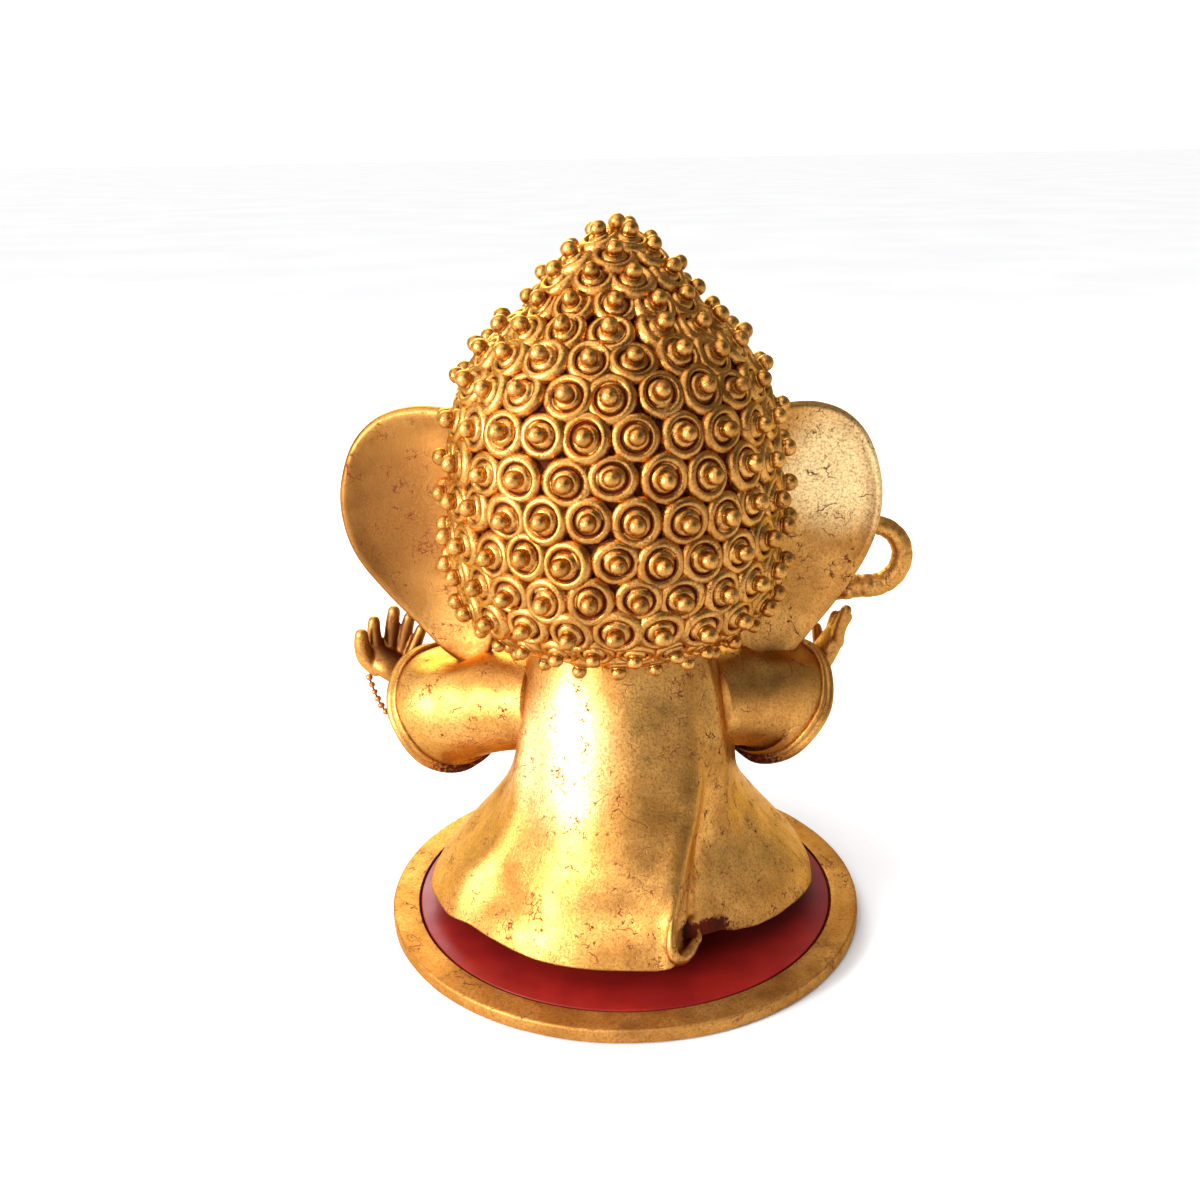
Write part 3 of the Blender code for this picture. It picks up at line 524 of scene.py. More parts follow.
class Nodes:
    """Shader nodes of a material or of the world."""

    def __init__(self, owner):
        owner.use_nodes = True
        self.tree = owner.node_tree

    def node(self, kind, *values, settings=None, **sockets):
        """A node with its settings, its inputs set or linked in their order or by name."""
        made = self.tree.nodes.new(kind)
        for key, value in (settings or {}).items():
            setattr(made, key, value)
        for index, value in enumerate(values):
            self.feed(made.inputs[index], value)
        for key, value in sockets.items():
            self.feed(made.inputs[key.replace("_", " ")], value)
        return made

    def feed(self, socket, value):
        """Links or sets an input; a colour is given as red, green and blue."""
        if isinstance(value, bpy.types.NodeSocket):
            self.tree.links.new(value, socket)
        else:
            socket.default_value = (*value, 1.0) if socket.type == "RGBA" else value

    def ramp(self, value, low, high, start=0.0, end=1.0):
        """Maps the range from low to high onto start to end, clamped."""
        smooth = {"interpolation_type": "SMOOTHSTEP"}
        return self.node("ShaderNodeMapRange", value, low, high, start, end, settings=smooth).outputs[0]

    def maths(self, operation, a, b, clamp=True):
        how = {"operation": operation, "use_clamp": clamp}
        return self.node("ShaderNodeMath", a, b, settings=how).outputs[0]


class Surface(Nodes):
    """A Principled material built up node by node."""

    def __init__(self, name):
        self.material = bpy.data.materials.new(name)
        super().__init__(self.material)
        self.shader = self.tree.nodes["Principled BSDF"]
        self.place = self.tree.nodes.new("ShaderNodeTexCoord").outputs["Object"]

    def set(self, **sockets):
        for key, value in sockets.items():
            self.feed(self.shader.inputs[key.replace("_", " ")], value)

    def noise(self, size, detail=3.0, rough=0.5, place=None, output=0):
        """Noise whose features are about the given size in millimetres."""
        sizes = {"Scale": 1.0 / (size * MM), "Detail": detail, "Roughness": rough}
        return self.node("ShaderNodeTexNoise", Vector=place or self.place, **sizes).outputs[output]

    def warped(self, size, amount):
        """The place pushed about by noise, both in millimetres."""
        reach = (2 * amount * MM,) * 3
        how = {"operation": "MULTIPLY_ADD"}
        push = self.noise(size, output=1)
        return self.node("ShaderNodeVectorMath", push, reach, self.place, settings=how).outputs[0]

    def edges(self, size, place):
        """Distance to the nearest edge of cells of the given size, as a share of it."""
        how = {"feature": "DISTANCE_TO_EDGE"}
        made = self.node("ShaderNodeTexVoronoi", settings=how, Vector=place, Scale=1.0 / (size * MM))
        return made.outputs["Distance"]

    def mix(self, share, a, b):
        """Colour a where the share is 0 and b where it is 1."""
        made = self.node("ShaderNodeMix", share, settings={"data_type": "RGBA"})
        self.feed(made.inputs[6], a)
        self.feed(made.inputs[7], b)
        return made.outputs[2]

    def bump(self, height, depth, strength=1.0, normal=None):
        """A bump of the given depth in millimetres."""
        made = self.node("ShaderNodeBump", Strength=strength, Distance=depth * MM, Height=height)
        if normal:
            self.feed(made.inputs["Normal"], normal)
        return made.outputs[0]

    def attribute(self, name):
        return self.node("ShaderNodeAttribute", settings={"attribute_name": name}).outputs["Fac"]


def gilded(name, wear=1.0, dullness_and_shade=0.0, smooth=0.30, rough=0.46, painted_light=None):
    """Gold leaf over red bole: soft tone changes, fine grain, broken seams and worn specks.

    The last argument is a place, a radius in millimetres and the colour that the leaf takes there, as
    painted light: pale for a painted highlight and dark for painted shade.
    """
    s = Surface(name)
    tone = s.ramp(s.noise(24.0, 5.0, 0.62), 0.36, 0.64)
    leaf = s.mix(tone, GOLD_DEEP, GOLD_LIGHT)
    # Dull patches at random, plus an even dull tone given by the caller; on the left ear that tone is
    # painted shade
    patch = s.maths("ADD", s.ramp(s.noise(15.0, 6.0, 0.66), 0.50, 0.70, 0.0, 0.5), dullness_and_shade)
    leaf = s.mix(patch, leaf, GOLD_DULL)
    # Painted light: round the given place the leaf takes a pale colour for a painted highlight or a dark
    # one for painted shade, as the caller sets
    if painted_light:
        place, radius, colour = painted_light
        push = 6.0
        middle = tuple((k + push) * MM for k in place)
        how = {"operation": "DISTANCE"}
        away = s.node("ShaderNodeVectorMath", s.warped(18.0, push), middle, settings=how).outputs[1]
        leaf = s.mix(s.ramp(away, 0.3 * radius * MM, radius * MM, 0.85, 0.0), leaf, colour)
    grain = s.noise(0.75, 4.0, 0.78)
    leaf = s.mix(s.ramp(grain, 0.42, 0.66, 0.0, 0.75), leaf, GOLD_DULL)
    seam = s.ramp(s.edges(11.0, s.warped(5.0, 5.0)), 0.0, 0.026, 1.0, 0.0)
    seam = s.maths("MULTIPLY", seam, s.ramp(s.noise(8.0, 4.0, 0.6), 0.53, 0.59, 0.0, wear))
    crackle = s.ramp(s.edges(2.6, s.warped(1.6, 1.6)), 0.0, 0.09, 1.0, 0.0)
    crackle = s.maths("MULTIPLY", crackle, s.ramp(s.noise(7.0, 5.0, 0.65), 0.57, 0.63, 0.0, wear))
    speck = s.ramp(s.noise(1.3, 5.0, 0.7), 0.60, 0.655, 0.0, wear)
    speck = s.maths("MULTIPLY", speck, s.ramp(s.noise(16.0, 4.0), 0.50, 0.64))
    # Bole where the mesh's value asks for it: real bole in hollows and joints, and painted shade in deep
    # grooves, gaps and undersides
    crevice = s.maths("ADD", s.attribute("bole"), s.ramp(s.noise(1.0, 3.0), 0.3, 0.7, -0.2, 0.2))
    crevice = s.ramp(crevice, 0.35, 0.75)
    worn = s.maths("MAXIMUM", s.maths("MAXIMUM", seam, crackle), s.maths("MAXIMUM", speck, crevice))
    bole = s.mix(s.ramp(s.noise(5.0), 0.4, 0.6), BOLE_BROWN, BOLE_RED)
    bole = s.mix(crevice, SEAM_BROWN, bole)
    s.set(Base_Color=s.mix(worn, leaf, bole), Metallic=s.ramp(worn, 0.0, 1.0, 1.0, 0.0))
    s.set(Specular_IOR_Level=s.ramp(worn, 0.0, 1.0, 0.5, 0.0), Specular_Tint=GOLD_EDGE)
    satin = s.ramp(s.noise(7.0, 5.0, 0.65), 0.3, 0.7, smooth, rough)
    s.set(Roughness=s.maths("ADD", satin, s.ramp(worn, 0.0, 1.0, 0.0, 0.25)))
    height = s.bump(grain, 0.13, 0.8)
    height = s.bump(s.noise(3.5, 3.0), 0.12, 0.6, height)
    s.set(Normal=s.bump(worn, -0.10, 0.5, height))
    return s.material


def lacquered():
    """Red lacquer, slightly uneven and dusty."""
    s = Surface("lacquer_red")
    tone = s.ramp(s.noise(14.0, 4.0), 0.3, 0.7)
    red = s.mix(tone, (0.17, 0.006, 0.005), (0.24, 0.010, 0.007))
    dust = s.ramp(s.noise(0.7, 3.0, 0.7), 0.60, 0.72, 0.0, 0.18)
    s.set(Base_Color=s.mix(dust, red, (0.36, 0.06, 0.04)))
    s.set(Roughness=s.ramp(s.noise(9.0, 4.0), 0.3, 0.7, 0.34, 0.46), Specular_IOR_Level=0.16)
    s.set(Normal=s.bump(s.noise(1.6, 2.0), 0.05, 0.4))
    return s.material


def felted():
    """Dark felt with short matted fibres."""
    s = Surface("felt_dark")
    fibre = s.noise(0.35, 5.0, 0.8)
    s.set(Base_Color=s.mix(s.ramp(fibre, 0.35, 0.7), (0.015, 0.015, 0.018), (0.07, 0.07, 0.075)))
    s.set(Roughness=s.ramp(fibre, 0.3, 0.7, 0.85, 1.0), Normal=s.bump(fibre, 0.3, 0.8))
    return s.material


def clay():
    """Fired clay with fine grit."""
    s = Surface("fired_clay")
    grit = s.noise(1.2, 5.0, 0.7)
    tone = s.mix(s.ramp(s.noise(18.0, 4.0), 0.3, 0.7), (0.20, 0.075, 0.040), (0.33, 0.14, 0.08))
    s.set(Base_Color=s.mix(s.ramp(grit, 0.5, 0.75, 0.0, 0.5), tone, (0.12, 0.05, 0.03)))
    s.set(Roughness=s.ramp(grit, 0.3, 0.7, 0.75, 0.95), Normal=s.bump(grit, 0.25, 0.6))
    return s.material


def steel():
    """Drawn steel with fine scratches along it."""
    s = Surface("drawn_steel")
    stretch = s.node("ShaderNodeMapping", Vector=s.place, Scale=(1.0, 1.0, 0.05)).outputs[0]
    lines = s.noise(0.25, 3.0, 0.6, stretch)
    s.set(Base_Color=s.mix(s.ramp(lines, 0.3, 0.7), (0.38, 0.38, 0.39), (0.58, 0.58, 0.60)))
    s.set(Metallic=1.0, Roughness=s.ramp(lines, 0.3, 0.7, 0.25, 0.42))
    return s.material


def worn_beads():
    """Red beads with most of their gilding worn off."""
    s = Surface("bead_worn")
    left = s.ramp(s.noise(2.2, 4.0, 0.7), 0.44, 0.56)
    s.set(Base_Color=s.mix(left, (0.30, 0.035, 0.018), GOLD_DEEP), Metallic=left)
    s.set(Roughness=s.ramp(left, 0.0, 1.0, 0.5, 0.32), Normal=s.bump(s.noise(0.8, 3.0), 0.08, 0.5))
    return s.material


def thread():
    """Dark red twisted thread."""
    s = Surface("thread_red")
    twist = s.noise(0.3, 3.0, 0.6)
    s.set(Base_Color=s.mix(s.ramp(twist, 0.35, 0.65), (0.06, 0.008, 0.006), (0.16, 0.02, 0.015)))
    s.set(Roughness=s.ramp(twist, 0.3, 0.7, 0.7, 0.9), Normal=s.bump(twist, 0.1, 0.7))
    return s.material


# ---- Prayer beads ----


def strand_point(share):
    """Point on the hanging loop, from its outer to its inner end."""
    level = STRAND_OUTER.lerp(STRAND_INNER, share)
    side = abs(2.0 * share - 1.0)
    drop = (STRAND_OUTER.z - STRAND_LOW_Z) * (1.0 - side ** STRAND_FALL)
    return Vector((level.x, level.y, STRAND_OUTER.z - drop))


def evenly(points, count):
    """Points at equal distances along a polyline."""
    run = [0.0]
    for a, b in zip(points, points[1:]):
        run.append(run[-1] + (b - a).length)
    result = []
    k = 0
    for i in range(count):
        want = run[-1] * i / (count - 1)
        while k < len(run) - 2 and run[k + 1] < want:
            k += 1
        result.append(points[k].lerp(points[k + 1], (want - run[k]) / (run[k + 1] - run[k])))
    return result, run[-1]


def build_strand(materials):
    """The hanging loop: a thread with its beads and the guru bead, swinging together."""
    fine = [strand_point(i / 400) for i in range(401)]
    route, length = evenly(fine, 40)
    curve = bpy.data.curves.new("mala_thread", "CURVE")
    curve.dimensions = "3D"
    curve.bevel_depth = THREAD_RADIUS * MM
    curve.bevel_resolution = 3
    curve.materials.append(materials["thread"])
    line = curve.splines.new("POLY")
    line.points.add(len(route) - 1)
    for point, place in zip(line.points, route):
        point.co = (*(place * MM), 1.0)
    strand = in_scene("mala_thread", curve)
    finish_piece(strand, "mala", "mala_strand")
    draw = random.Random(7)
    meshes = []
    for place in evenly(fine, STRAND_BEADS)[0]:
        radius = BEAD_RADIUS * draw.uniform(0.85, 1.15)
        shape = (radius, radius * draw.uniform(0.9, 1.1), radius * draw.uniform(0.85, 1.05))
        meshes.append(ball_mesh(place, shape, 14, 8))
    material = materials["beads"]
    beads = stand_in("mala_beads", "mala_strand", *joined(meshes), material, body="mala")
    drop = strand_point(0.5) - UP * (BEAD_RADIUS + GURU_RADIUS + 0.3)
    guru = [ball_mesh(drop, (GURU_RADIUS,) * 3, 28, 18)]
    guru.append(ball_mesh(drop + UP * GURU_RADIUS, (0.9, 0.9, 0.8), 16, 8))
    guru_bead = stand_in("mala_guru_bead", "guru_bead", *joined(guru), material, body="mala")
    held = evenly([Vector(row) for row in PALM_BEADS], 9)[0]
    held = [ball_mesh(place, (BEAD_RADIUS,) * 3, 14, 8) for place in held]
    stand_in("palm_beads", "hand_left", *joined(held), material)


# ---- Base ----


def build_base(materials):
    """Gilded ring with eased edges, and the lacquer disc level with it."""
    bore = 2.3
    bed = 3.6
    profile = [(62.3, 0.4), *arc((74.2, 1.2), 0.8, -90, 0), *arc((74.2, 4.0), 0.8, 0, 90)]
    profile += [(72.0, 4.78), (69.0, BASE_TOP), *arc((66.9, 4.2), 0.6, 90, 180)]
    profile += [(66.3, bed), (bore, bed), (bore, 3.3), (4.5, 1.3), (62.3, 1.3)]
    vertices, faces = lathe_mesh(profile, BASE_SIDES, closed=True)
    shaped = []
    bole = []
    for x, y, z in vertices:
        radius = sqrt(x * x + y * y)
        nudge = 0.0
        if radius > 70.0:
            nudge = 0.16 * wander((x, y, z), 16.0) + 0.05 * wander((x, y, z), 4.0, 3.0)
        grow = 1.0 + nudge / radius
        shaped.append(Vector((x * grow, y * grow, z)))
        bole.append(0.9 if radius < 66.8 else 0.0)
    stand_in("base_ring", "base_disc", shaped, faces, materials["base"], bole)
    top = BASE_TOP - 0.02
    profile = [(bore, 3.9), (65.6, 3.9), (66.0, 4.3), *arc((65.6, top - 0.4), 0.4, 0, 90, 4)]
    profile += [(60.0, top), (40.0, top), (20.0, top), (bore, top)]
    vertices, faces = lathe_mesh(profile, BASE_SIDES, closed=True)
    stand_in("lacquer_top", "lacquer_disc", vertices, faces, materials["lacquer"])


# ---- Robe ----


def between(rows, place):
    """The values at a place in a table whose first column rises, eased from row to row."""
    for before, after in zip(rows, rows[1:]):
        if place <= after[0]:
            share = 0.4 * (place - before[0]) / (after[0] - before[0])
            share += 0.6 * step_up(before[0], after[0], place)
            return [lerp(a, b, share) for a, b in zip(before[1:], after[1:])]
    return list(rows[-1][1:])


def robe_offset(angle, fall):
    """How far the cloth stands out at an angle, where fall is 0 at the neck and 1 at the hem."""
    crest = PLEAT_START + (PLEAT_END - PLEAT_START) * step_up(0.35, 0.92, fall)
    past = angle - crest
    along = angle - (crest - PLEAT_END) * hill(past, 26.0)
    out = between(HEM_SHAPE, along)[0] * step_up(0.35, 1.0, fall)
    ridge = 2.4 * step_up(0.15, 0.6, fall) * (1.0 - 0.5 * step_up(0.85, 1.0, fall))
    out += ridge * hill(past, 9.0 if past > 0 else 4.5)
    out += 1.2 * step_up(0.70, 0.85, fall) * hill(past, 2.0)
    out -= 5.0 * step_up(0.88, 0.95, fall) * hill(angle + 18.6, 3.2)
    flank = step_up(70.0, 90.0, abs(angle)) * step_up(150.0, 120.0, abs(angle))
    out -= 2.0 * flank * hill(fall - 0.84, 0.12)
    out += 2.2 * step_up(0.1, 0.5, fall) * (1.0 - 0.6 * step_up(0.8, 1.0, fall)) * hill(angle - 62.0, 8.0)
    out -= 1.6 * step_up(0.2, 0.5, fall) * step_up(1.0, 0.7, fall) * hill(angle - 86.0, 14.0)
    out += 1.4 * step_up(0.8, 0.4, fall) * hill(angle + 58.0, 7.0)
    out -= 2.2 * hill(angle - 44.0, 12.0) * hill(fall - 0.86, 0.07)
    out -= 1.5 * hill(angle - 4.0, 15.0) * hill(fall - 0.82, 0.06)
    for centre, height in ((128.0, 2.2), (160.0, 3.0), (-172.0, 2.4), (-140.0, 3.0), (-112.0, 1.2)):
        away = (angle - centre + 180.0) % 360.0 - 180.0
        out += height * fall * hill(away, 9.0)
    return out


def hem_lift(angle, fall):
    """How far the hem rises at an angle."""
    lift = FRONT_HEM_LIFT * max(-cos(radians(angle)), 0.0) * fall ** 4
    return lift + between(HEM_SHAPE, angle)[1] * step_up(0.70, 1.0, fall)


def robe_point(angle, share, inset):
    """A point of the robe: angle from the back towards the left, share from hem to neck."""
    height, half_width, back, front = spline(ROBE_STATIONS, share)
    low = ROBE_STATIONS[0][0]
    high = ROBE_STATIONS[-1][0]
    fall = min(max((high - height) / (high - low), 0.0), 1.0)
    x = sin(radians(angle))
    y = cos(radians(angle))
    depth = back if y > 0 else front
    out = robe_offset(angle, fall) - inset
    out += 0.35 * wander((half_width * x, depth * y, height), 14.0)
    return Vector(((half_width + out) * x, (depth + out) * y, height + hem_lift(angle, fall)))


def build_robe(materials):
    """Thin flared robe with a rolled pleat, open at the hem and at the neck."""
    layers = [(1.0 - i / (ROBE_ROWS - 1), 0.0) for i in range(ROBE_ROWS)]
    layers += [(-0.004, 0.25), (-0.007, ROBE_WALL * 0.5), (-0.004, ROBE_WALL - 0.25)]
    inner_rows = ROBE_ROWS // 2
    layers += [(i / (inner_rows - 1), ROBE_WALL) for i in range(inner_rows)]
    vertices = []
    bole = []
    for share, inset in layers:
        for j in range(ROBE_COLUMNS):
            angle = 360.0 * j / ROBE_COLUMNS
            if angle > 180.0:
                angle -= 360.0
            point = robe_point(angle, share, inset)
            if share < 0:
                point.z -= 0.5 * sin(pi * inset / ROBE_WALL)
            vertices.append(point)
            inside = 0.75 if inset > 1.0 else 0.0
            # Bole shows inside the cloth and at the hem's edge by the pleat; in the pleat's hollow the
            # bole-red is partly painted shade
            hollow = 0.9 * hill(angle + 18.8, 3.2) * step_up(0.15, 0.09, share)
            edge = step_up(16.0, 4.0, abs(angle + 26.0)) * step_up(0.12, 0.05, share)
            bole.append(max(inside, hollow, edge))
    faces = grid_faces(len(layers), ROBE_COLUMNS, closed_rows=True)
    stand_in("robe_cloth", "robe", vertices, faces, materials["robe"], bole)
    path = [robe_point(*row[:3]) for row in FOLD_LIP]
    vertices, faces = smooth_tube(path, [row[3] for row in FOLD_LIP], 20, 60)
    stand_in("robe_fold_lip", "robe", vertices, faces, materials["robe"])


# ---- Sleeves ----


def build_sleeve(side, sign, cuff, facing, materials):
    """Wide sleeve that turns at the elbow, with a hollow end and a doubled rim."""
    root = Vector((sign * SLEEVE_ROOT[0], SLEEVE_ROOT[1], SLEEVE_ROOT[2]))
    near = cuff - facing * 9.0
    rows = [(*root, 14.0), (*root.lerp(near, 0.5), 16.0), (*near, 19.4), (*cuff, CUFF_RADIUS)]
    rings = course(rows, SLEEVE_STEPS)
    rings += [(cuff + facing * along, radius) for along, radius in SLEEVE_RIM]
    vertices = []
    bole = []
    for i, (centre, radius) in enumerate(rings):
        ahead = facing
        if i < SLEEVE_STEPS:
            ahead = (rings[i + 1][0] - rings[max(i - 1, 0)][0]).normalized()
        ahead = ahead.lerp(facing, step_up(24, 38, i)).normalized()
        across, top = crossways(ahead)
        for turn in turns(SLEEVE_SIDES):
            outward = across * cos(turn) + top * sin(turn)
            point = centre + outward * radius
            if i <= SLEEVE_STEPS:
                dent = 6.4 * hill(degrees(turn) - 90.0, 34.0) * hill(i - 25, 6.0)
                point -= outward * (dent - 0.4 * wander(point, 13.0, 5.0))
            vertices.append(point)
            # Painted shade: the sleeve's underside towards the cuff turns bole-red
            under = step_up(0.2, 0.9, -sin(turn)) * step_up(34, SLEEVE_STEPS, i) * 0.45
            bole.append(0.8 if i > SLEEVE_STEPS + 3 else under)
    faces = capped_faces(len(rings), SLEEVE_SIDES, flipped=True)
    stand_in(f"sleeve_{side}_cloth", f"sleeve_{side}", vertices, faces, materials["gold"], bole)
    build_cuff(side, cuff, facing, materials)


def build_cuff(side, cuff, facing, materials):
    """Double raised band round the mouth of a sleeve."""
    across, top = crossways(facing)
    vertices = []
    bole = []
    for turn in turns(CUFF_SIDES):
        outward = across * cos(turn) + top * sin(turn)
        sway = 0.25 * sin(3 * turn + 1.0) + 0.15 * sin(7 * turn)
        # Painted shade: the band's underside turns bole-red; the groove between its two rims shows bole
        under = 0.75 * step_up(0.45, 0.95, -sin(turn))
        for along, radius in CUFF_SECTION:
            vertices.append(cuff + facing * (along + sway) + outward * (radius + 0.3 * sway))
            bole.append(max(0.65 if abs(along + 0.9) < 0.2 else 0.0, under))
    faces = grid_faces(CUFF_SIDES, len(CUFF_SECTION), closed_rows=True)
    stand_in(f"cuff_{side}_band", f"cuff_{side}", vertices, faces, materials["gold"], bole)


# ---- Hands and feet ----


def digit(root, tip, radius, end_radius, bend):
    """A finger with a slight bend and a fuller middle."""
    root, tip, bend = (Vector(place) for place in (root, tip, bend))
    path = [root, root.lerp(tip, 0.35) + bend, root.lerp(tip, 0.7) + bend * 0.8, tip]
    radii = [radius, radius * 1.02, radius * 0.92, end_radius]
    return smooth_tube(path, radii, 16, 12, up=(0.3, 1.0, 0.1))


def build_hand(side, cuff, facing, rise, palm, up, digits, material):
    """Hand with its thumb and fingers, and its forearm in the sleeve."""
    wrist = cuff - facing * 10.0
    rows = [(wrist, ARM_RADIUS, ARM_RADIUS), (cuff + Vector((0.0, -1.0, rise)), ARM_RADIUS, ARM_RADIUS)]
    rows += [(Vector(place), wide, tall) for place, wide, tall in palm]
    path, widths, heights = zip(*rows)
    meshes = [smooth_tube(path, widths, 32, 30, up, heights)]
    meshes += [digit(*d) for d in digits]
    fused(f"hand_{side}_skin", [f"hand_{side}"], meshes, 0.42, 3, material)


def build_feet(materials):
    """Bare feet with their toes, standing on the lacquer."""
    for side, sign in SIDES:
        heel = Vector((14.0 * sign, -39.5, 9.6))
        ball = Vector((17.0 * sign, -58.0, 8.6))
        path = [heel, heel.lerp(ball, 0.5), ball, ball + Vector((0.4 * sign, -3.0, -0.3))]
        meshes = [smooth_tube(path, [5.0, 5.6, 7.0, 6.4], 32, 20, heights=[4.2, 4.0, 3.2, 2.6])]
        for i in range(5):
            across = (i - 2) * 2.9 * sign
            root = ball + Vector((across, -1.5, -0.9))
            tip = root + Vector((0.15 * across, -4.6 + 0.45 * i, -0.2))
            radius = 1.95 - 0.14 * i
            radii = [radius * 0.9, radius * 0.86, radius]
            meshes.append(smooth_tube([root, root.lerp(tip, 0.5), tip], radii, 16, 8))
        fused(f"foot_{side}_skin", [f"foot_{side}"], meshes, 0.45, 3, materials["hand"])


# ---- Head ----


def trunk_route():
    """Centres and radii along the trunk and round its loop."""
    route = course(TRUNK_PATH, TRUNK_STEPS)[:-1]
    for i in range(TRUNK_STEPS + 1):
        share = i / TRUNK_STEPS
        turn = radians(LOOP_START_ANGLE - LOOP_TURN * share)
        centre = LOOP_CENTRE + Vector((LOOP_RADIUS * cos(turn), 0.0, LOOP_RADIUS * sin(turn)))
        route.append((centre, lerp(LOOP_TUBE_START, LOOP_TUBE_END, share)))
    return route


def build_trunk(materials):
    """Trunk with soft creases across it, and a rounded open tip."""
    route = trunk_route()
    places, length = evenly([centre for centre, radius in route], 320)
    rings = []
    for i, place in enumerate(places):
        share = i / (len(places) - 1)
        radius = min(route, key=lambda ring: (ring[0] - place).length_squared)[1]
        run = share * length
        crease = abs(sin(pi * run / CREASE_SPACING + 0.5 * sin(run * 0.9)))
        depth = 0.07 * radius * step_up(0.02, 0.12, share)
        creased = radius + 0.15 - depth * (1.0 - crease) ** 3
        rings.append((place, creased, creased))
    tip = (places[-1] - places[-2]).normalized()
    for out, narrow in TRUNK_TIP:
        radius = route[-1][1] * narrow
        rings.append((places[-1] + tip * out, radius, radius))
    vertices, faces = tube_mesh(rings, TRUNK_SIDES, up=(0.25, 1.0, 0.0))
    inside = 2 * TRUNK_SIDES
    bole = [0.0] * (len(vertices) - inside) + [0.9] * inside
    stand_in("trunk_skin", "trunk", vertices, faces, materials["gold"], bole)


def build_head(materials):
    """Skull, face and neck as one smooth body; the scalp under the curls shows bole, which also paints
    shade into the gaps between the curls.
    """
    profile = [(23.5, 88.0), (24.0, 93.0)]
    profile += [tuple(spline(SKULL_PROFILE, i / 60)) for i in range(61)]
    for i in range(1, 25):
        r, z = spline(TOPKNOT_PROFILE, i / 24)
        profile.append((r - 2.0 * TOPKNOT_INSET, z))
    meshes = [lathe_mesh(profile, 128, HEAD_X)]
    masses = [(sign, mass) for sign in (1.0, -1.0) for mass in FACE_SIDES]
    masses += [(1.0, mass) for mass in FACE_MIDDLE]
    for sign, ((x, y, z), size) in masses:
        meshes.append(ball_mesh((HEAD_X + x * sign, y, z), size))
    piece = fused("head_skin", ["head_core", "topknot_core"], meshes, 0.9, 16, materials["face"])
    bole = []
    for vertex in piece.data.vertices:
        x, y, z = vertex.co / MM
        angle = abs(degrees(atan2(x - HEAD_X, y)))
        hair = max(step_up(96.0, 90.0, angle), step_up(166.5, 168.5, z)) * step_up(96.0, 98.0, z)
        bole.append(0.88 * hair)
    add_bole(piece.data, bole)


def face_arc(centre, half_width, rise, ahead, count=15):
    """Points on an arc across the face, with its ends further back."""
    points = []
    for i in range(count):
        share = 2.0 * i / (count - 1) - 1.0
        bow = share * share
        points.append(Vector(centre) + Vector((half_width * share, ahead + 2.6 * bow, rise * bow)))
    return points


def build_face(materials):
    """Closed eyes with a lash line and a fold, tusks, and a drop on the forehead."""
    taper = [0.15 + 0.35 * sin(pi * i / 14) for i in range(15)]
    for side, sign in SIDES:
        root = Vector((HEAD_X + TUSK_ROOT[0] * sign, TUSK_ROOT[1], TUSK_ROOT[2]))
        path = [root + Vector((x * sign, y, z)) for x, y, z in TUSK_PATH]
        vertices, faces = smooth_tube(path, TUSK_RADII, 28, 24)
        stand_in(f"tusk_{side}_ivory", f"tusk_{side}", vertices, faces, materials["gold"])
        centre = Vector((HEAD_X + EYE_PLACE[0] * sign, EYE_PLACE[1], EYE_PLACE[2]))
        lid = ball_mesh(centre, (7.4, 4.6, 4.0), 32, 18)
        lash = smooth_tube(face_arc(centre - UP * 2.8, 6.6, 2.1, -4.0), taper, 10, 30)
        fold = smooth_tube(face_arc(centre + UP * 4.4, 7.4, -2.6, -3.4), taper, 10, 30)
        bole = [0.0] * len(lid[0]) + [0.9] * len(lash[0]) + [0.0] * len(fold[0])
        meshes = [lid, lash, fold]
        stand_in(f"eyelid_{side}_skin", f"eyelid_{side}", *joined(meshes), materials["gold"], bole)
    dot = ball_mesh((HEAD_X, *DOT_PLACE), (1.9, 2.6, 3.2), 24, 14)
    stand_in("forehead_drop", "forehead_dot", *dot, materials["gold"])


# ---- Curls ----


def along_profile(profile, distance):
    """Point and outward normal at a distance along a smooth profile."""
    fine = [spline(profile, i / 200) for i in range(201)]
    for (r0, z0), (r1, z1) in zip(fine, fine[1:]):
        step = sqrt((r1 - r0) ** 2 + (z1 - z0) ** 2)
        if distance <= step:
            share = distance / step
            return lerp(r0, r1, share), lerp(z0, z1, share), (z1 - z0) / step, (r0 - r1) / step
        distance -= step
    raise ValueError("the distance runs past the profile")


def curl_mesh(place, normal, size, cup, draw):
    """One curl: a flat ring round a small mound with a ball on it, none quite alike."""
    normal = (normal + Vector([draw.uniform(-0.10, 0.10) for _ in range(3)])).normalized()
    side = normal.cross(UP).normalized()
    up = side.cross(normal)
    spin = draw.uniform(0.0, 2 * pi)
    stretch = draw.uniform(0.94, 1.06)
    shift = (draw.uniform(-0.35, 0.35), draw.uniform(-0.35, 0.35))
    profile = list(CUP_SKIRT if cup else ()) + list(CURL_SECTION)
    ball = arc((0.0, CURL_SECTION[-1][1] + BALL_SINK), BALL_RADIUS, -38.0, 84.0, 7)
    profile += [(r, h, 0.0 if i else 0.35) for i, (r, h) in enumerate(ball)]
    vertices = []
    bole = []
    for r, h, dark in profile:
        groove = 3.4 < r < 3.9 and h < 2.0
        inner = step_up(4.4, 3.2, r)
        for turn in turns(CURL_SIDES):
            fading = step_up(0.75, 0.95, cos(turn - spin)) if groove else 0.0
            height = lerp(h, 2.2, 0.7 * fading)
            a = r * cos(turn) * stretch + shift[0] * inner
            b = r * sin(turn) / stretch + shift[1] * inner
            vertices.append(place + (side * a + up * b + normal * height) * size)
            bole.append(dark * (1.0 - 0.8 * fading))
    faces = grid_faces(len(profile), CURL_SIDES)
    faces.append(tuple(range(len(vertices) - CURL_SIDES, len(vertices))))
    return vertices, faces, bole


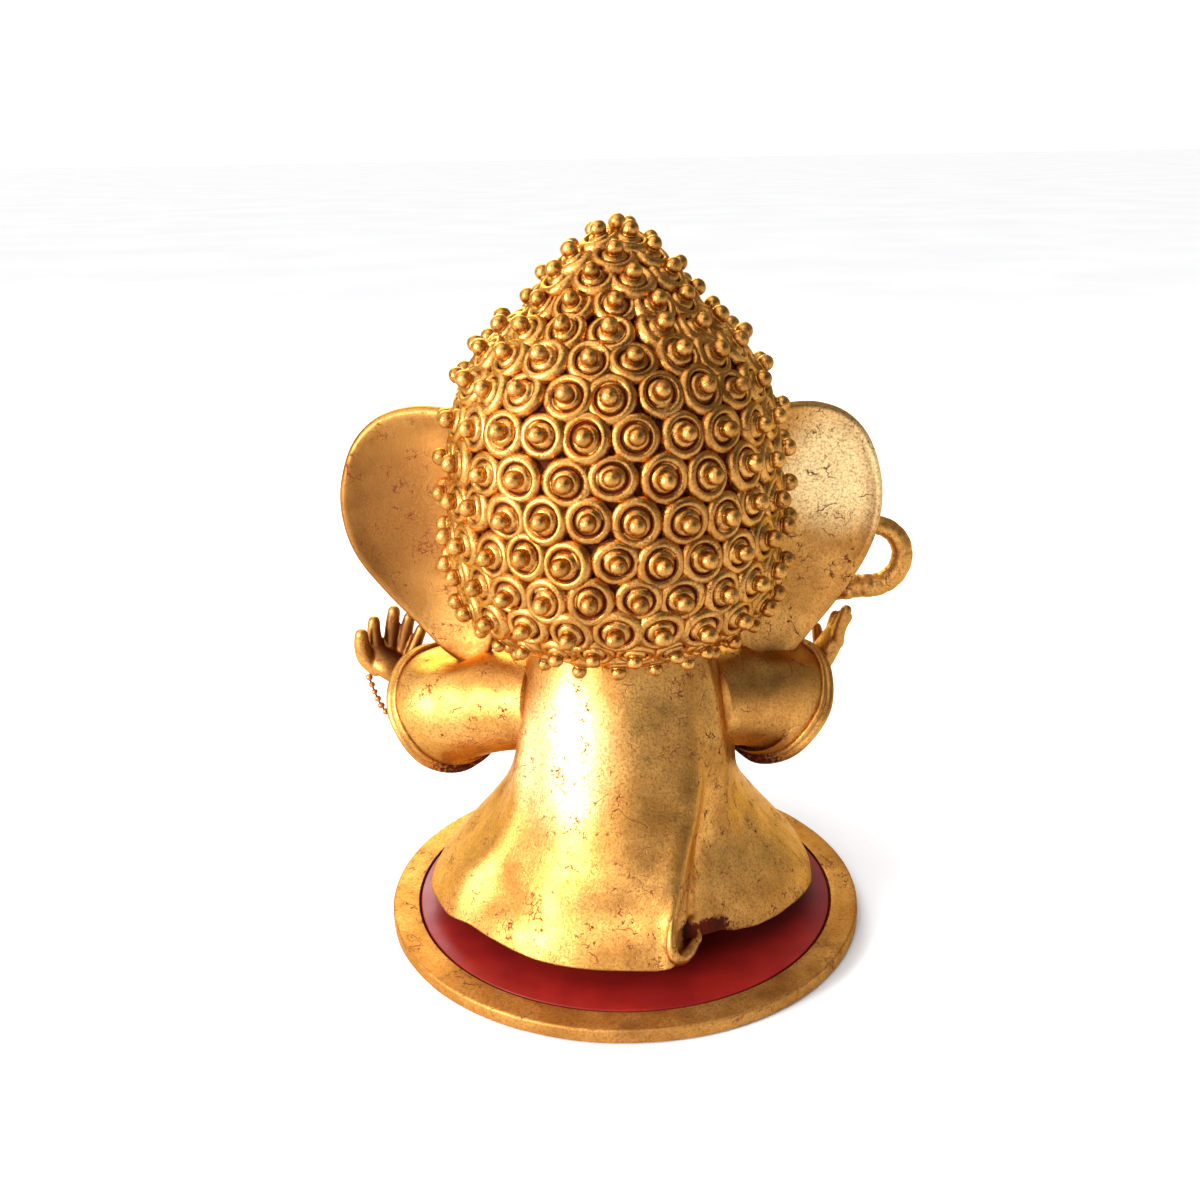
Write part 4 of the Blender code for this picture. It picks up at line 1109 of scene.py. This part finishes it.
def curl_row(name, node, axis_x, profile, distance, size, cup, odd, draw, material):
    """A row of curls round the head; cups stand clear of it and look up."""
    radius, height, out_r, out_z = along_profile(profile, distance)
    closed = height > CLOSED_ROW_HEIGHT
    full = 2 * pi if closed else 2 * radians(OPEN_ROW_HALF_ANGLE)
    count = max(4, round(full * (radius + 1.0) / (CURL_PITCH * size)))
    step = full / count
    meshes = []
    bole = []
    half = count // 2
    for i in range(-half, count - half):
        angle = (i + (0.5 if odd else 0.0)) * step + draw.uniform(-0.07, 0.07) * step
        slide = draw.uniform(-0.8, 0.8) + 0.9 * sin(2.0 * angle + ROW_WAVE) - 1.0 * sin(angle)
        r = radius - out_z * slide
        place = Vector((axis_x + r * sin(angle), r * cos(angle), height + out_r * slide))
        normal = Vector((out_r * sin(angle), out_r * cos(angle), out_z + cup))
        more = curl_mesh(place, normal.normalized(), size * draw.uniform(0.95, 1.05), cup, draw)
        meshes.append(more[:2])
        bole.extend(more[2])
    stand_in(name, node, *joined(meshes), material, bole)


def build_curls(materials):
    """Rows of curls from the nape to the crown, and those of the topknot."""
    draw = random.Random(11)
    material = materials["curls"]
    for i, distance in enumerate(SKULL_ROWS, 1):
        name = f"curls_{i:02d}"
        node = f"curl_row_{min(i, CAD_SKULL_ROWS)}"
        size = 0.92 if i < 3 else 1.1
        curl_row(name, node, HEAD_X, SKULL_PROFILE, distance, size, 0.0, i % 2 == 0, draw, material)
    profile = [(radius - TOPKNOT_INSET, height) for radius, height in TOPKNOT_PROFILE]
    for i, distance in enumerate(TOPKNOT_ROWS, 1):
        name = f"topknot_curls_{i}"
        node = f"topknot_row_{min(i, CAD_TOPKNOT_ROWS)}"
        curl_row(name, node, TOPKNOT_CURLS_X, profile, distance, 1.04, 0.35, i % 2 == 0, draw, material)


def build_finial(materials):
    """Small cone with a ball on the topknot."""
    ball = arc((0.0, FINIAL_BALL_Z), FINIAL_BALL_RADIUS, -48.0, 88.0, 11)
    profile = [*FINIAL_CONE, *ball]
    stand_in("finial_ball", "finial", *lathe_mesh(profile, 36), materials["gold"])


# ---- Ears ----


def ear_point(x, z, sign, offset):
    """A point of the ear, swept forward towards its edge and dished at the back."""
    reach = (x - EAR_ROOT_X) / EAR_WIDTH
    y = EAR_ROOT_Y - EAR_SWEEP * reach - EAR_DISH * sin(pi * min(max(reach, 0.0), 1.0)) + offset
    return Vector((HEAD_X + sign * x, y, z))


def build_ear(side, sign, stretch, drop, hollow, material):
    """Large flap ear with a rolled rim, gently hollow at the back."""
    outline = []
    for x, z in smooth_loop(EAR_OUTLINE, EAR_SIDES):
        x = EAR_ROOT_X + (x - EAR_ROOT_X) * stretch
        z = z - drop * max((120.0 - z) / 40.0, 0.0)
        outline.append((x, z))
    half = EAR_THICKNESS / 2
    layers = [(share, level * half) for share, level in EAR_SECTION]
    layers += [(share, -level * half) for share, level in reversed(EAR_SECTION[:-1])]
    vertices = []
    for share, offset in layers:
        dip = hollow * (1.0 - share ** 2) ** 0.8
        for x, z in outline:
            px = lerp(EAR_MIDDLE[0], x, share)
            pz = lerp(EAR_MIDDLE[1], z, share)
            point = ear_point(px, pz, sign, offset - dip)
            point.y += 0.3 * wander(point, 17.0, 9.0)
            vertices.append(point)
    faces = capped_faces(len(layers), EAR_SIDES, flipped=sign < 0)
    stand_in(f"ear_{side}_flap", f"ear_{side}", vertices, faces, material)


# ---- Light and floor ----


def build_floor():
    """Pale floor that is staging, not part of the object."""
    half = FLOOR_HALF
    corners = [(-half, -half, 0), (half, -half, 0), (half, half, 0), (-half, half, 0)]
    mesh = bpy.data.meshes.new("floor")
    mesh.from_pydata(corners, [], [(0, 1, 2, 3)])
    s = Surface("floor_white")
    tone = s.ramp(s.noise(300.0), 0.3, 0.7)
    s.set(Base_Color=s.mix(tone, (0.86, 0.86, 0.87), (0.90, 0.90, 0.905)), Roughness=0.9)
    mesh.materials.append(s.material)
    in_scene("floor", mesh)


def build_sky():
    """Soft white sky: brighter on the figure's left, dim overhead and behind the camera."""
    world = bpy.data.worlds.new("studio")
    bpy.context.scene.world = world
    sky = Nodes(world)
    split = sky.node("ShaderNodeSeparateXYZ", sky.node("ShaderNodeTexCoord").outputs["Generated"])
    height = sky.ramp(split.outputs["Z"], 0.06, 0.50, SKY_EDGE, SKY_TOP)
    side = sky.ramp(split.outputs["X"], -0.8, 0.9, SKY_DIM_SIDE, SKY_BRIGHT_SIDE)
    room = sky.ramp(split.outputs["Y"], -0.1, 0.8, 1.0, SKY_ROOM)
    turned = sky.maths("MULTIPLY", side, room, clamp=False)
    mixed = sky.node("ShaderNodeMix", sky.ramp(split.outputs["Z"], 0.04, 0.22))
    sky.feed(mixed.inputs[2], SKY_EDGE)
    sky.feed(mixed.inputs[3], sky.maths("MULTIPLY", height, turned, clamp=False))
    background = sky.tree.nodes["Background"]
    sky.feed(background.inputs["Strength"], mixed.outputs[0])
    sky.feed(background.inputs["Color"], (1.0, 1.0, 1.0))


def add_light(name, kind, place, power):
    """A light that faces the figure."""
    data = bpy.data.lights.new(name, kind)
    data.energy = power
    light = in_scene(name, data)
    light.location = place
    light.rotation_mode = "QUATERNION"
    light.rotation_quaternion = (LIGHT_AIM - Vector(place)).to_track_quat("-Z", "Y")
    return data


def build_lights():
    """A broad light from above, a large window at the photo's upper left, and two soft lights."""
    add_light("sky", "SUN", SUN_PLACE, SUN_STRENGTH).angle = radians(SUN_SPREAD)
    for name, place, size, power in SOFT_LIGHTS:
        add_light(name, "AREA", place, power).size = size


def better_nodes(materials):
    """Procedural materials for the CAD nodes that stay in view."""
    for node, material in (("armature_rod", "steel"), ("body_core", "clay"), ("felt_pad", "felt")):
        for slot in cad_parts[node].material_slots:
            slot.material = materials[material]


def main():
    """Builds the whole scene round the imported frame."""
    bpy.context.scene.view_settings.view_transform = "Standard"
    make_camera()
    materials = {
        "thread": thread(),
        "beads": worn_beads(),
        "gold": gilded("gold_leaf"),
        "face": gilded("gold_leaf_face", wear=0.7),
        "curls": gilded("gold_leaf_curls", wear=0.8, dullness_and_shade=0.2, smooth=0.17, rough=0.30),
        # The pale patches on the robe and the right ear are painted highlights; the dark patches on the
        # left ear and the hand, and the left ear's extra dull tone, are painted shade
        "ear_left": gilded("gold_leaf_ear_left_painted_shade", wear=0.9, dullness_and_shade=0.5, painted_light=EAR_PAINTED_SHADE),
        "ear_right": gilded("gold_leaf_ear_right_painted_highlight", dullness_and_shade=0.2, painted_light=EAR_PAINTED_HIGHLIGHT),
        "hand": gilded("gold_leaf_hand_painted_shade", wear=0.9, dullness_and_shade=0.25, painted_light=HAND_PAINTED_SHADE),
        "robe": gilded("gold_leaf_robe_painted_highlight", painted_light=ROBE_PAINTED_HIGHLIGHT),
        "base": gilded("gold_leaf_base", wear=0.9, dullness_and_shade=0.3, smooth=0.50, rough=0.62),
        "lacquer": lacquered(),
        "felt": felted(),
        "clay": clay(),
        "steel": steel(),
    }
    build_strand(materials)
    build_base(materials)
    build_robe(materials)
    build_sleeve("left", 1.0, LEFT_CUFF, LEFT_FACING, materials)
    build_sleeve("right", -1.0, RIGHT_CUFF, RIGHT_FACING, materials)
    skin = materials["hand"]
    build_hand("left", LEFT_CUFF, LEFT_FACING, 2.6, LEFT_PALM, UP, LEFT_DIGITS, skin)
    build_hand("right", RIGHT_CUFF, RIGHT_FACING, 3.0, RIGHT_PALM, (0.0, 1.0, 0.2), RIGHT_DIGITS, skin)
    build_feet(materials)
    build_head(materials)
    build_trunk(materials)
    build_face(materials)
    build_curls(materials)
    build_finial(materials)
    build_ear("left", 1.0, 1.10, 0.0, 1.2, materials["ear_left"])
    build_ear("right", -1.0, 1.03, 5.0, 3.2, materials["ear_right"])
    better_nodes(materials)
    build_floor()
    build_sky()
    build_lights()


main()
